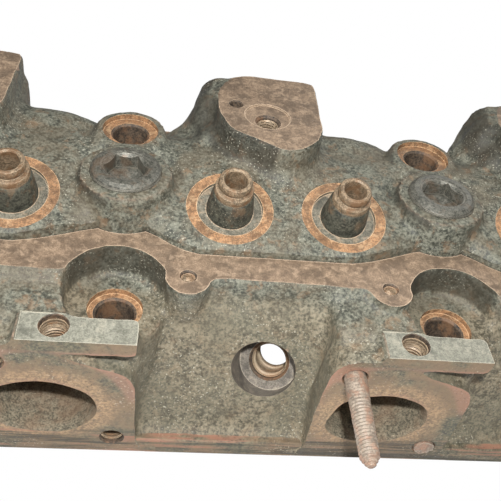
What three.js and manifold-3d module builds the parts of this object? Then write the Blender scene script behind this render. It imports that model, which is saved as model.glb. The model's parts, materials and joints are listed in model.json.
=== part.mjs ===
// Bare cylinder head for a bank of three cylinders: an iron casting with its valve guides,
// valve seats, screwed and pressed water-jacket plugs, and what is left of its exhaust studs.
// Millimetres, +Z up. X runs along the head, -Y is the exhaust side, z = 0 is the deck face.
import * as THREE from 'three';
import { mergeVertices } from 'three/addons/utils/BufferGeometryUtils.js';
import Module from 'manifold-3d';

const wasm = await Module();
wasm.setup();

// ---- driving dimensions -------------------------------------------------------------------

const CLEARANCE = 0.3;             // gap round every piece fitted into the casting
const FITTED_SIDES = 12;           // facets of every piece fitted to a round hole, and of the hole
const OVERRUN = 6;                 // how far a cutting tool passes a surface
const THROUGH = 130;               // length of a tool that leaves the head at its far end

const PITCH = 120;                 // between cylinder centres
const CYLINDERS = 3;
const END_WALL = 18;               // centre of the last head bolts to the end face
const INTAKE_FACE_Y = 60;
const LIP_Y = -74;                 // edge of the deck flange on the exhaust side
const LIP_HEIGHT = 8;

const RAIL_Z = 70;                 // front gasket rail of the valve cover
const RAIL_OUTER_Y = -49.5;
const RAIL_WIDTH = 12.5;
const RAIL_BEND_WIDTH = 10.3;      // where it goes round a front bolt
const RAIL_WALL = 9;
const REAR_RAIL_Z = 57;
const REAR_RAIL_WIDTH = 13;
const COVER_SCREW_OFFSET = 36;     // from a cylinder centre, towards its head bolts
const COVER_SCREW_BORE = 5;
const COVER_SCREW_DEPTH = 12;
const COVER_BOSS_RADIUS = 7.8;
const COVER_BOSS_DEPTH = 16;
const FLOOR_Y = -4;                // flat floor behind the spring seats starts here

const STAND_TOP_Z = 95;            // machined top of the rocker stands
const STAND_BOLT_BORE = 8.5;
const STAND_BOLT_DEPTH = 24;
const STAND_SPOT = 18;
const STAND_SPOT_DEPTH = 0.7;
const OIL_HOLE = 5;
const OIL_HOLE_DEPTH = 20;
// Places from the cylinder centre.
const STAND_BOLT_PLACE = { x: -7.3, y: 15.5 };
const STAND_SPOT_PLACE = { x: -7.3, y: 18.5 };
const OIL_HOLE_PLACE = { x: -19.4, y: 25.5 };

const VALVE_SPACING = 43;          // intake valve to exhaust valve in one cylinder
const VALVE_TILT = THREE.MathUtils.degToRad(14.5);
const SPRING_SEAT_Y = -19.5;       // valve axis crosses the spring seat here
const SPRING_SEAT_Z = 78;
const SPRING_SEAT_RADIUS = 16.2;
const SPRING_RECESS_RADIUS = 12.3;
const SPRING_RECESS_DEPTH = 1.4;
const GUIDE_BOSS_WALL = 1.8;
const GUIDE_BOSS_HEIGHT = 9.5;
const GUIDE_RADIUS = 6.5;
const GUIDE_COLLAR_STEP = 0.5;     // collar and tip, against the shank
const GUIDE_TIP_STEP = 0.5;
const GUIDE_BORE = 8;
const GUIDE_STANDING = 16.5;       // top of the guide above the spring seat
const GUIDE_LENGTH = 56;
const ROOF_DEPTH = 70;             // spring seat to combustion chamber roof, along the valve
const SEAT_RING_HEIGHT = 7;
const SEAT_RING_WALL = 4;
const INTAKE_THROAT_RADIUS = 17;
const EXHAUST_THROAT_RADIUS = 14;
const THROAT_DEPTH = 24;
const VALVE_POCKET = 16;           // chamber roof to where a port meets its valve

const BOLT_BORE = 13.5;            // cylinder head bolts
const FRONT_BOLT_Y = -53;
const REAR_BOLT_Y = 18;
const FRONT_BOLT_BOSS_RADIUS = 16.5;
const FRONT_BOLT_BOSS_Z = 55;
const FRONT_NOTCH_RADIUS = 17.5;   // where the gasket rail bends round the front bolts
const BOLT_SPOT_RADIUS = 11.4;
const BOLT_SPOT_DEPTH = 0.8;
const REAR_BOLT_BOSS_RADIUS = 14;

const PLUG_Y = -11;                // screwed water-jacket plugs between the cylinders
const PLUG_TOP_Z = 87;
const PLUG_RADIUS = 12.8;
const PLUG_HEAD = 8;
const PLUG_THREAD_RADIUS = 11;
const PLUG_THREAD_LENGTH = 12;
const PLUG_HEX = 14;               // socket, across flats
const PLUG_HEX_DEPTH = 6;
const PLUG_BOSS_WALL = 4;
const PLUG_STANDING = 4.5;         // plug above its boss

const BOSS_OFFSET = 42;            // exhaust boss centre from its cylinder centre
const BOSS_WIDTH = 56;
const FACE_TOP_Y = -76;            // exhaust flange face at its top edge
const FACE_TOP_Z = 62;
const FACE_TILT = THREE.MathUtils.degToRad(3.2);
const PAD_THICKNESS = 5;
const LEDGE_Z = 65;
const LEDGE_DEPTH = 10.5;           // from the top edge of the flange face
const LEDGE_THICKNESS = 12;
const LEDGE_BORE = 10;
const LEDGE_BORE_DEPTH = 22;
const LEDGE_BORE_INSET = 6.5;      // from the top edge of the flange face
const PORT_OFFSET = -4.5;          // port mouth centre from the boss centre
const PORT_Z = 29;
const PORT_WIDTH = 39;
const PORT_HEIGHT = 27;
const STUD_RADIUS = 4;
const STUD_STANDING = 33;
// Stud places: from the boss centre, height above the deck, and depth of the tapped hole.
const UPPER_STUD = { x: -19.5, z: 53, depth: 22 };
const LOWER_STUD = { x: 19.5, z: 9.5, depth: 9 };

const SPARK_SEAT_RADIUS = 11.5;
const SPARK_BORE = 14;
const SPARK_THREAD_DEPTH = 31;
const SPARK_POCKET_RADIUS = 13;    // hollow in the chamber wall round the plug's tip
const SPARK_SEAT = new THREE.Vector3(-1, -49, 28);
const SPARK_AXIS = new THREE.Vector3(0.31, 0.78, -0.55).normalize();

const INTAKE_OFFSET = -24;         // intake port from its cylinder centre
const INTAKE_PORT_WIDTH = 27;
const INTAKE_PORT_HEIGHT = 36;
const INTAKE_PORT_Z = 27;
const INTAKE_BOLT_BORE = 8.5;
const INTAKE_BOLT_DEPTH = 12;
const INTAKE_BOLT_WALL = 9;        // port wall to the bolt centre
const INTAKE_BOLT_Z = [9, 47];
const PUSHROD_BORE = 12;
const PUSHROD_Y = 41;
const PUSHROD_X = [-48, 24];       // from the cylinder centre

const JACKET_WIDTH = 20;           // water jacket between two cylinders
const JACKET_FLOOR_Z = 14;
const JACKET_ROOF_Z = 49;
const JACKET_BOLT_WALL = 14.5;     // jacket end to the nearest head bolt's centre
const WATER_HOLE = 10;
const WATER_HOLE_INSET = 8;        // from the end of the jacket

const END_PLUG_RADIUS = 16;        // pressed cup plugs in the end faces
const END_PLUG_DEPTH = 8;
const END_PLUG_WALL = 1.6;
const END_PLUG_PLACE = { y: -8, z: 33 };
const PIPE_PLUG_RADIUS = 9;
const PIPE_PLUG_LENGTH = 14;
const PIPE_PLUG_SQUARE = 8;
const PIPE_PLUG_SOCKET_DEPTH = 9;
const PIPE_PLUG_PLACE = { y: 35, z: 30 };
const END_JACKET_DEPTH = 26;
const END_BOLT_BORE = 8.5;
const END_BOLT_DEPTH = 18;
const END_BOLT_Y = [-38, 22];
const END_BOLT_Z = 15;

// ---- places worked out from the dimensions --------------------------------------------------

const span = (CYLINDERS - 1) * PITCH;
const cylinders = Array.from({ length: CYLINDERS }, (_, i) => i * PITCH - span / 2);
const bolts = Array.from({ length: CYLINDERS + 1 }, (_, i) => (i - 0.5) * PITCH - span / 2);
const plugs = bolts.slice(1, -1);
const halfLength = bolts.at(-1) + END_WALL;
const railInnerY = RAIL_OUTER_Y + RAIL_WIDTH;
const rearRailInnerY = INTAKE_FACE_Y - REAR_RAIL_WIDTH;
const plugBossZ = PLUG_TOP_Z - PLUG_STANDING;
const plugBossRadius = PLUG_RADIUS + PLUG_BOSS_WALL;
const guideBossRadius = GUIDE_RADIUS + GUIDE_BOSS_WALL;
const coverScrews = [
  cylinders[0] - COVER_SCREW_OFFSET,
  ...cylinders.slice(1, -1).flatMap((x) => [x - COVER_SCREW_OFFSET, x + COVER_SCREW_OFFSET]),
  cylinders.at(-1) + COVER_SCREW_OFFSET,
];

const valveAxis = new THREE.Vector3(0, -Math.sin(VALVE_TILT), Math.cos(VALVE_TILT));
const faceNormal = new THREE.Vector3(0, -Math.cos(FACE_TILT), -Math.sin(FACE_TILT));
const slopeZ = (y) => SPRING_SEAT_Z + (y - SPRING_SEAT_Y) * Math.tan(VALVE_TILT);
const faceY = (z) => FACE_TOP_Y + (FACE_TOP_Z - z) * Math.tan(FACE_TILT);
const floorZ = slopeZ(FLOOR_Y);

// ---- small tools ----------------------------------------------------------------------------

const V = (x, y, z) => new THREE.Vector3(x, y, z);

// A closed three.js geometry as a Manifold solid, with its faces turned outwards.
function solid(geometry, matrix) {
  const bare = geometry.clone();
  bare.deleteAttribute('normal');
  bare.deleteAttribute('uv');
  if (matrix) bare.applyMatrix4(matrix);
  const merged = mergeVertices(bare, 1e-4);
  const points = merged.attributes.position.array;
  const index = merged.index.array;
  const triangles = [];
  let volume = 0;
  const a = V(), b = V(), c = V();
  for (let i = 0; i < index.length; i += 3) {
    const [p, q, r] = [index[i], index[i + 1], index[i + 2]];
    if (p === q || q === r || r === p) continue;
    triangles.push([p, q, r]);
    a.fromArray(points, 3 * p);
    b.fromArray(points, 3 * q);
    c.fromArray(points, 3 * r);
    volume += a.dot(b.cross(c));
  }
  const order = triangles.flatMap(([p, q, r]) => (volume < 0 ? [p, r, q] : [p, q, r]));
  return new wasm.Manifold(new wasm.Mesh({
    numProp: 3,
    vertProperties: new Float32Array(points),
    triVerts: new Uint32Array(order),
  }));
}

function geometryOf(manifold) {
  const mesh = manifold.getMesh();
  const geometry = new THREE.BufferGeometry();
  geometry.setAttribute('position', new THREE.BufferAttribute(mesh.vertProperties, 3));
  geometry.setIndex(new THREE.BufferAttribute(mesh.triVerts, 1));
  geometry.computeVertexNormals();
  return geometry;
}

const joined = (solids) => solids.reduce((sum, next) => sum.add(next));

// An outline through the points, each corner eased over the given distance.
function outline(points, ease = 0) {
  const shape = new THREE.Shape();
  const corners = points.map(([x, y]) => new THREE.Vector2(x, y));
  corners.forEach((corner, i) => {
    const before = corners.at(i - 1);
    const after = corners[(i + 1) % corners.length];
    const reach = (other) => Math.min(ease, 0.45 * corner.distanceTo(other));
    const entry = corner.clone().lerp(before, reach(before) / corner.distanceTo(before));
    const exit = corner.clone().lerp(after, reach(after) / corner.distanceTo(after));
    if (i === 0) shape.moveTo(entry.x, entry.y);
    else shape.lineTo(entry.x, entry.y);
    if (ease > 0) shape.quadraticCurveTo(corner.x, corner.y, exit.x, exit.y);
  });
  shape.closePath();
  return shape;
}

function prism(shape, depth, basis, origin) {
  const matrix = new THREE.Matrix4().makeBasis(...basis).setPosition(origin);
  return solid(new THREE.ExtrudeGeometry(shape, { depth, bevelEnabled: false, curveSegments: 2 }), matrix);
}

const alongX = (shape, from, to) =>
  prism(shape, to - from, [V(0, 1, 0), V(0, 0, 1), V(1, 0, 0)], V(from, 0, 0));
const alongZ = (shape, from, to) =>
  prism(shape, to - from, [V(1, 0, 0), V(0, 1, 0), V(0, 0, 1)], V(0, 0, from));
// Outline in x and z, extruded from y = from back to y = to.
const alongY = (shape, from, to) =>
  prism(shape, to - from, [V(1, 0, 0), V(0, 0, 1), V(0, -1, 0)], V(0, to, 0));

function box(from, to) {
  const size = to.clone().sub(from);
  const centre = from.clone().add(to).multiplyScalar(0.5);
  return solid(new THREE.BoxGeometry(size.x, size.y, size.z), new THREE.Matrix4().setPosition(centre));
}

// The matrix that stands a turned shape's own axis on a point, along a direction.
function turned(origin, axis) {
  const turn = new THREE.Quaternion().setFromUnitVectors(V(0, 1, 0), axis.clone().normalize());
  return new THREE.Matrix4().compose(origin, turn, V(1, 1, 1));
}

const sidesFor = (radius) => THREE.MathUtils.clamp(2 * Math.round(radius * 0.7), 8, 14);

// A cylinder from a point, running the given length along the axis.
function rod(origin, axis, radius, length, sides = sidesFor(radius), endRadius = radius) {
  const geometry = new THREE.CylinderGeometry(endRadius, radius, length, sides);
  geometry.translate(0, length / 2, 0);
  return solid(geometry, turned(origin, axis));
}

const UP = V(0, 0, 1);
const alongValve = (x, distance) => V(x, SPRING_SEAT_Y, SPRING_SEAT_Z).addScaledVector(valveAxis, distance);

// A passage whose section swells and turns from one end of a curve to the other.
function duct(path, startSize, endSize, squareness, rings = 4, sides = FITTED_SIDES) {
  const geometry = new THREE.CylinderGeometry(1, 1, 1, sides, rings);
  const curve = new THREE.CatmullRomCurve3(path);
  const position = geometry.attributes.position;
  const vertex = V();
  for (let i = 0; i < position.count; i++) {
    vertex.fromBufferAttribute(position, i);
    const t = vertex.y + 0.5;
    const tangent = curve.getTangent(t);
    const side = V(1, 0, 0).addScaledVector(tangent, -tangent.x).normalize();
    const up = side.clone().cross(tangent);
    const power = 2 + (squareness - 2) * (1 - t);
    const reach = Math.hypot(vertex.x, vertex.z);
    const stretch = reach > 0
      ? reach / (Math.abs(vertex.x) ** power + Math.abs(vertex.z) ** power) ** (1 / power)
      : 0;
    const half = startSize.clone().lerp(endSize, t).multiplyScalar(0.5 * stretch);
    const point = curve.getPoint(t)
      .addScaledVector(side, vertex.x * half.x)
      .addScaledVector(up, vertex.z * half.y);
    position.setXYZ(i, point.x, point.y, point.z);
  }
  return solid(geometry);
}

function latheSolid(profile, sides, origin, axis) {
  const points = profile.map(([r, y]) => new THREE.Vector2(r, y));
  return solid(new THREE.LatheGeometry(points, sides), turned(origin, axis));
}

// ---- the casting ----------------------------------------------------------------------------

function castingBody() {
  const section = [
    [LIP_Y, 0],
    [INTAKE_FACE_Y, 0],
    [INTAKE_FACE_Y, REAR_RAIL_Z],
    [rearRailInnerY, REAR_RAIL_Z],
    [rearRailInnerY - 5, REAR_RAIL_Z + 10],
    [33, 78],
    [25, 81],
    [10, floorZ],
    [FLOOR_Y, floorZ],
    [railInnerY + 2, slopeZ(railInnerY + 2)],
    [railInnerY, RAIL_Z],
    [RAIL_OUTER_Y, RAIL_Z],
    [RAIL_OUTER_Y - 0.5, RAIL_Z - RAIL_WALL],
    [RAIL_OUTER_Y - 3.5, RAIL_Z - RAIL_WALL - 4],
    [LIP_Y + 7, LIP_HEIGHT + 4],
    [LIP_Y + 6, LIP_HEIGHT + 1],
    [LIP_Y, LIP_HEIGHT],
  ];
  return alongX(outline(section), -halfLength, halfLength);
}

// Boss round one exhaust port: a core and the flange pad on it.
function exhaustBoss(centre) {
  const half = BOSS_WIDTH / 2;
  const core = alongX(outline([
    [RAIL_OUTER_Y + 6, 2],
    [FACE_TOP_Y + PAD_THICKNESS + 2, 2],
    [FACE_TOP_Y + PAD_THICKNESS + 1, LEDGE_Z - 14],
    [FACE_TOP_Y + PAD_THICKNESS + 3, LEDGE_Z - 4],
    [FACE_TOP_Y + PAD_THICKNESS + 6, LEDGE_Z - 1],
    [RAIL_OUTER_Y + 6, LEDGE_Z],
  ]), centre - half + 2, centre + half);
  const pad = outline([
    [centre - half, 2],
    [centre - half - 1, 38],
    [centre - half, 56],
    [centre - half + 5, FACE_TOP_Z],
    [centre - 11, FACE_TOP_Z],
    [centre + half - 4, 47],
    [centre + half - 1, 40],
    [centre + half, 2],
  ], 4);
  const plate = alongY(pad, 0, PAD_THICKNESS + 6);
  const lean = new THREE.Matrix4()
    .makeTranslation(0, FACE_TOP_Y, FACE_TOP_Z)
    .multiply(new THREE.Matrix4().makeRotationX(FACE_TILT))
    .multiply(new THREE.Matrix4().makeTranslation(0, 0, -FACE_TOP_Z));
  return core.add(plate.transform(lean.toArray()));
}

// Machined ledge along the top of an exhaust boss.
function exhaustLedge(centre) {
  return alongX(outline([
    [FACE_TOP_Y + LEDGE_DEPTH, LEDGE_Z - LEDGE_THICKNESS],
    [FACE_TOP_Y + 6, LEDGE_Z - LEDGE_THICKNESS],
    [FACE_TOP_Y + 1, LEDGE_Z - 2.5],
    [FACE_TOP_Y + 1, LEDGE_Z],
    [FACE_TOP_Y + LEDGE_DEPTH, LEDGE_Z],
  ]), centre - 11, centre + BOSS_WIDTH / 2 - 1.5);
}

// Flat-topped stand that carries the rocker gear, with the rib that runs down from its side.
function rockerStand(centre) {
  const top = outline([
    [centre - 18, 50],
    [centre + 16, 49],
    [centre + 14, 7],
    [centre + 4.5, -4],
    [centre - 4.8, -4.8],
    [centre - 10, 0.3],
    [centre - 23, 6.5],
    [centre - 28, 23],
  ], 5);
  const rib = outline([
    [centre - 46, 79],
    [centre - 40, 80],
    [centre - 36.5, 82.5],
    [centre - 34, 89],
    [centre - 30.5, 93.2],
    [centre - 26, STAND_TOP_Z - 0.7],
    [centre - 15, STAND_TOP_Z - 0.7],
    [centre - 15, 70],
    [centre - 46, 70],
  ], 2);
  return alongZ(top, 60, STAND_TOP_Z).add(alongY(rib, 23, 48));
}

function valveBosses(x) {
  const root = 9;
  const rim = 0.6;
  const seat = rod(alongValve(x, -root), valveAxis, SPRING_SEAT_RADIUS, root + rim);
  const recess = rod(alongValve(x, rim - SPRING_RECESS_DEPTH), valveAxis, SPRING_RECESS_RADIUS, THROUGH);
  const boss = rod(alongValve(x, -root), valveAxis, guideBossRadius, root + GUIDE_BOSS_HEIGHT);
  return { seat, recess, boss };
}

function coverPlaneCut(sign) {
  const shape = outline([
    [RAIL_OUTER_Y - 20, RAIL_Z + 2],
    [railInnerY, RAIL_Z],
    [rearRailInnerY, REAR_RAIL_Z],
    [INTAKE_FACE_Y + OVERRUN, REAR_RAIL_Z],
    [INTAKE_FACE_Y + OVERRUN, STAND_TOP_Z + OVERRUN],
    [RAIL_OUTER_Y - 20, STAND_TOP_Z + OVERRUN],
  ]);
  const inner = halfLength - RAIL_WIDTH;
  return sign > 0
    ? alongX(shape, inner, halfLength + OVERRUN)
    : alongX(shape, -halfLength - OVERRUN, -inner);
}

// The combustion chamber: a shallow wedge whose roof is square to the valves.
function chamber(centre) {
  const roof = outline([
    [-45, -4],
    [-36, -22],
    [-10, -37],
    [16, -38],
    [38, -22],
    [44, -4],
    [38, 17],
    [22, 23],
    [-22, 24],
    [-40, 17],
  ], 9);
  const origin = alongValve(centre, -ROOF_DEPTH - THROUGH);
  const across = V(0, Math.cos(VALVE_TILT), Math.sin(VALVE_TILT));
  const wedge = prism(roof, THROUGH, [V(1, 0, 0), across, valveAxis.clone()], origin);
  const tip = SPARK_SEAT.clone().addScaledVector(SPARK_AXIS, SPARK_THREAD_DEPTH - 1).add(V(centre, 0, 0));
  const pocket = new THREE.SphereGeometry(SPARK_POCKET_RADIUS, 10, 6);
  return wedge.add(solid(pocket, new THREE.Matrix4().setPosition(tip)));
}

function valvePassages(centre) {
  const cuts = [];
  for (const [side, throat] of [[-1, INTAKE_THROAT_RADIUS], [1, EXHAUST_THROAT_RADIUS]]) {
    const x = centre + side * VALVE_SPACING / 2;
    const ring = throat + SEAT_RING_WALL + CLEARANCE;
    cuts.push(rod(alongValve(x, -ROOF_DEPTH - OVERRUN), valveAxis, ring,
      OVERRUN + SEAT_RING_HEIGHT + CLEARANCE, FITTED_SIDES));
    cuts.push(rod(alongValve(x, -ROOF_DEPTH), valveAxis, throat, THROAT_DEPTH, FITTED_SIDES));
    cuts.push(rod(alongValve(x, -ROOF_DEPTH), valveAxis, GUIDE_RADIUS + CLEARANCE, THROUGH, FITTED_SIDES));
  }
  return cuts;
}

function exhaustPort(centre) {
  const x = centre + BOSS_OFFSET + PORT_OFFSET;
  const valve = centre + VALVE_SPACING / 2;
  const mouth = V(x, faceY(PORT_Z), PORT_Z);
  const end = alongValve(valve, VALVE_POCKET - ROOF_DEPTH);
  return duct([
    mouth.clone().addScaledVector(faceNormal, OVERRUN),
    mouth.clone().addScaledVector(faceNormal, -22),
    V(valve + 5, -28, PORT_Z + 8),
    end,
  ], new THREE.Vector2(PORT_WIDTH, PORT_HEIGHT),
  new THREE.Vector2(2 * EXHAUST_THROAT_RADIUS, 2 * EXHAUST_THROAT_RADIUS), 2.5);
}

function intakePort(centre) {
  const x = centre + INTAKE_OFFSET;
  const valve = centre - VALVE_SPACING / 2;
  return duct([
    V(x, INTAKE_FACE_Y + OVERRUN, INTAKE_PORT_Z),
    V(x, INTAKE_FACE_Y - 16, INTAKE_PORT_Z + 2),
    V(valve, 16, 36),
    alongValve(valve, VALVE_POCKET - ROOF_DEPTH),
  ], new THREE.Vector2(INTAKE_PORT_WIDTH, INTAKE_PORT_HEIGHT),
  new THREE.Vector2(2 * INTAKE_THROAT_RADIUS - 4, 2 * INTAKE_THROAT_RADIUS - 4), 6);
}

function studHole(centre, place) {
  const face = V(centre + BOSS_OFFSET + place.x, faceY(place.z), place.z);
  const start = face.addScaledVector(faceNormal, OVERRUN);
  const inward = faceNormal.clone().negate();
  return rod(start, inward, STUD_RADIUS + CLEARANCE, OVERRUN + place.depth, FITTED_SIDES);
}

function sparkPlugHole(centre) {
  const seat = SPARK_SEAT.clone().add(V(centre, 0, 0));
  const outward = SPARK_AXIS.clone().negate();
  const inside = seat.clone().addScaledVector(outward, 1);
  const thread = rod(inside, SPARK_AXIS, SPARK_BORE / 2, SPARK_THREAD_DEPTH + 1);
  return rod(seat, outward, SPARK_SEAT_RADIUS, THROUGH).add(thread);
}

// Water jacket between two cylinders, open to the plug above and to two holes in the deck.
function waterJacket(x) {
  const half = JACKET_WIDTH / 2;
  const front = FRONT_BOLT_Y + JACKET_BOLT_WALL;
  const back = REAR_BOLT_Y - JACKET_BOLT_WALL;
  const headZ = PLUG_TOP_Z - PLUG_HEAD - CLEARANCE;
  const pocket = box(V(x - half, front, JACKET_FLOOR_Z), V(x + half, back, JACKET_ROOF_Z));
  const holes = [front + WATER_HOLE_INSET, back - WATER_HOLE_INSET].map((y) =>
    rod(V(x, y, -OVERRUN), UP, WATER_HOLE / 2, JACKET_FLOOR_Z + 2 * OVERRUN));
  const neck = rod(V(x, PLUG_Y, JACKET_ROOF_Z - OVERRUN), UP, PLUG_THREAD_RADIUS - 1.5,
    headZ - JACKET_ROOF_Z, FITTED_SIDES);
  const thread = rod(V(x, PLUG_Y, headZ - PLUG_THREAD_LENGTH), UP,
    PLUG_THREAD_RADIUS + CLEARANCE, THROUGH, FITTED_SIDES);
  const head = rod(V(x, PLUG_Y, headZ), UP, PLUG_RADIUS + CLEARANCE, THROUGH, FITTED_SIDES);
  return [pocket, ...holes, neck, thread, head];
}

function boltHoles(x) {
  const cuts = [];
  for (const [y, spot] of [[FRONT_BOLT_Y, FRONT_BOLT_BOSS_Z], [REAR_BOLT_Y, floorZ]]) {
    cuts.push(rod(V(x, y, -OVERRUN), UP, BOLT_BORE / 2, THROUGH));
    cuts.push(rod(V(x, y, spot - BOLT_SPOT_DEPTH), UP, BOLT_SPOT_RADIUS, THROUGH));
  }
  return cuts;
}

function endFeatures(sign) {
  const face = sign * halfLength;
  const inward = V(-sign, 0, 0);
  const start = face + sign * OVERRUN;
  const cuts = [];
  // A plugged opening, the passage behind it, and the water hole that meets it from the deck.
  const plugged = ({ y, z }, radius, depth, waterRadius) => {
    const mouth = V(start, y, z);
    const water = V(face - sign * (END_JACKET_DEPTH - waterRadius), y, -OVERRUN);
    cuts.push(rod(mouth, inward, radius + CLEARANCE, OVERRUN + depth + CLEARANCE, FITTED_SIDES));
    cuts.push(rod(mouth, inward, radius - 3, OVERRUN + END_JACKET_DEPTH));
    cuts.push(rod(water, UP, waterRadius, z + OVERRUN));
  };
  plugged(END_PLUG_PLACE, END_PLUG_RADIUS, END_PLUG_DEPTH, WATER_HOLE / 2);
  if (sign > 0) plugged(PIPE_PLUG_PLACE, PIPE_PLUG_RADIUS, PIPE_PLUG_LENGTH, WATER_HOLE / 2 - 1);
  for (const y of END_BOLT_Y) {
    cuts.push(rod(V(start, y, END_BOLT_Z), inward, END_BOLT_BORE / 2, OVERRUN + END_BOLT_DEPTH));
  }
  return cuts;
}

function headCasting() {
  const bodies = [castingBody()];
  const clearings = [];
  const raised = [];
  const cuts = [];

  for (const x of bolts) {
    clearings.push(
      rod(V(x, FRONT_BOLT_Y, RAIL_Z), UP, FRONT_NOTCH_RADIUS + RAIL_BEND_WIDTH, THROUGH, 32));
    clearings.push(rod(V(x, FRONT_BOLT_Y, FRONT_BOLT_BOSS_Z), UP, FRONT_NOTCH_RADIUS, THROUGH));
    if (Math.abs(x) > span / 2) {
      const past = Math.sign(x) * (halfLength + OVERRUN);
      clearings.push(box(
        V(Math.min(x, past), LIP_Y - OVERRUN, FRONT_BOLT_BOSS_Z),
        V(Math.max(x, past), FRONT_BOLT_Y + FRONT_NOTCH_RADIUS, STAND_TOP_Z)));
    }
    raised.push(rod(V(x, FRONT_BOLT_Y, 0), UP, FRONT_BOLT_BOSS_RADIUS, FRONT_BOLT_BOSS_Z));
    raised.push(rod(V(x, REAR_BOLT_Y, RAIL_Z), UP, REAR_BOLT_BOSS_RADIUS,
      floorZ + BOLT_SPOT_DEPTH - RAIL_Z));
    cuts.push(...boltHoles(x));
  }
  for (const x of coverScrews) {
    raised.push(rod(V(x, RAIL_OUTER_Y, RAIL_Z - COVER_BOSS_DEPTH), UP, COVER_BOSS_RADIUS, COVER_BOSS_DEPTH));
    for (const [y, z] of [[RAIL_OUTER_Y + 1, RAIL_Z], [INTAKE_FACE_Y - REAR_RAIL_WIDTH / 2, REAR_RAIL_Z]]) {
      cuts.push(rod(V(x, y, z - COVER_SCREW_DEPTH), UP, COVER_SCREW_BORE / 2, THROUGH));
    }
  }
  for (const x of plugs) {
    raised.push(rod(V(x, PLUG_Y, JACKET_ROOF_Z), UP, plugBossRadius + 1.5,
      plugBossZ - JACKET_ROOF_Z, 20, plugBossRadius));
    cuts.push(...waterJacket(x));
  }
  for (const centre of cylinders) {
    bodies.push(exhaustBoss(centre + BOSS_OFFSET));
    raised.push(exhaustLedge(centre + BOSS_OFFSET), rockerStand(centre));
    const onStand = ({ x, y }, depth) => V(centre + x, y, STAND_TOP_Z - depth);
    cuts.push(
      rod(onStand(STAND_SPOT_PLACE, STAND_SPOT_DEPTH), UP, STAND_SPOT / 2, THROUGH),
      rod(onStand(STAND_BOLT_PLACE, STAND_BOLT_DEPTH), UP, STAND_BOLT_BORE / 2, THROUGH),
      rod(onStand(OIL_HOLE_PLACE, OIL_HOLE_DEPTH), UP, OIL_HOLE / 2, THROUGH));
    cuts.push(chamber(centre), exhaustPort(centre), intakePort(centre), sparkPlugHole(centre));
    cuts.push(...valvePassages(centre));
    for (const place of [UPPER_STUD, LOWER_STUD]) cuts.push(studHole(centre, place));
    const ledge = V(centre + BOSS_OFFSET, FACE_TOP_Y + LEDGE_BORE_INSET, LEDGE_Z - LEDGE_BORE_DEPTH);
    cuts.push(rod(ledge, UP, LEDGE_BORE / 2, THROUGH));
    for (const offset of PUSHROD_X) {
      cuts.push(rod(V(centre + offset, PUSHROD_Y, -OVERRUN), UP, PUSHROD_BORE / 2, THROUGH));
    }
    for (const z of INTAKE_BOLT_Z) {
      const x = centre + INTAKE_OFFSET + INTAKE_PORT_WIDTH / 2 + INTAKE_BOLT_WALL;
      const place = V(x, INTAKE_FACE_Y + OVERRUN, z);
      cuts.push(rod(place, V(0, -1, 0), INTAKE_BOLT_BORE / 2, OVERRUN + INTAKE_BOLT_DEPTH));
    }
  }
  cuts.push(...endFeatures(-1), ...endFeatures(1));

  let casting = joined(bodies).subtract(joined(clearings));
  casting = casting.add(joined(raised));
  for (const centre of cylinders) {
    for (const side of [-1, 1]) {
      const { seat, recess, boss } = valveBosses(centre + side * VALVE_SPACING / 2);
      casting = casting.add(seat).subtract(recess).add(boss);
    }
  }
  const ends = coverPlaneCut(-1).add(coverPlaneCut(1));
  return casting.subtract(joined(cuts)).subtract(ends);
}

// ---- the pieces fitted to it ------------------------------------------------------------------

// Cast valve guide: pressed shank, collar above its boss, and a grooved tip for the oil seal.
function valveGuide(x) {
  const top = GUIDE_STANDING;
  const bore = GUIDE_BORE / 2;
  const collar = GUIDE_BOSS_HEIGHT + CLEARANCE;
  const collarRadius = GUIDE_RADIUS + GUIDE_COLLAR_STEP;
  const tip = GUIDE_RADIUS - GUIDE_TIP_STEP;
  return latheSolid([
    [bore, top - GUIDE_LENGTH],
    [GUIDE_RADIUS - 1, top - GUIDE_LENGTH],
    [GUIDE_RADIUS, top - GUIDE_LENGTH + 2],
    [GUIDE_RADIUS, collar],
    [collarRadius, collar],
    [collarRadius, collar + 2.6],
    [tip - 0.7, collar + 3.2],
    [tip - 0.7, collar + 4.2],
    [tip, collar + 4.6],
    [tip, top - 0.6],
    [tip - 0.7, top],
    [bore + 0.5, top],
    [bore, top - 0.7],
    [bore, top - GUIDE_LENGTH],
  ], FITTED_SIDES, alongValve(x, 0), valveAxis);
}

function valveSeat(x, throat) {
  const outer = throat + SEAT_RING_WALL;
  return latheSolid([
    [throat, SEAT_RING_HEIGHT],
    [throat, 2.4],
    [throat + 2.4, 0],
    [outer, 0],
    [outer, SEAT_RING_HEIGHT],
    [throat, SEAT_RING_HEIGHT],
  ], FITTED_SIDES, alongValve(x, -ROOF_DEPTH), valveAxis);
}

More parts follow.
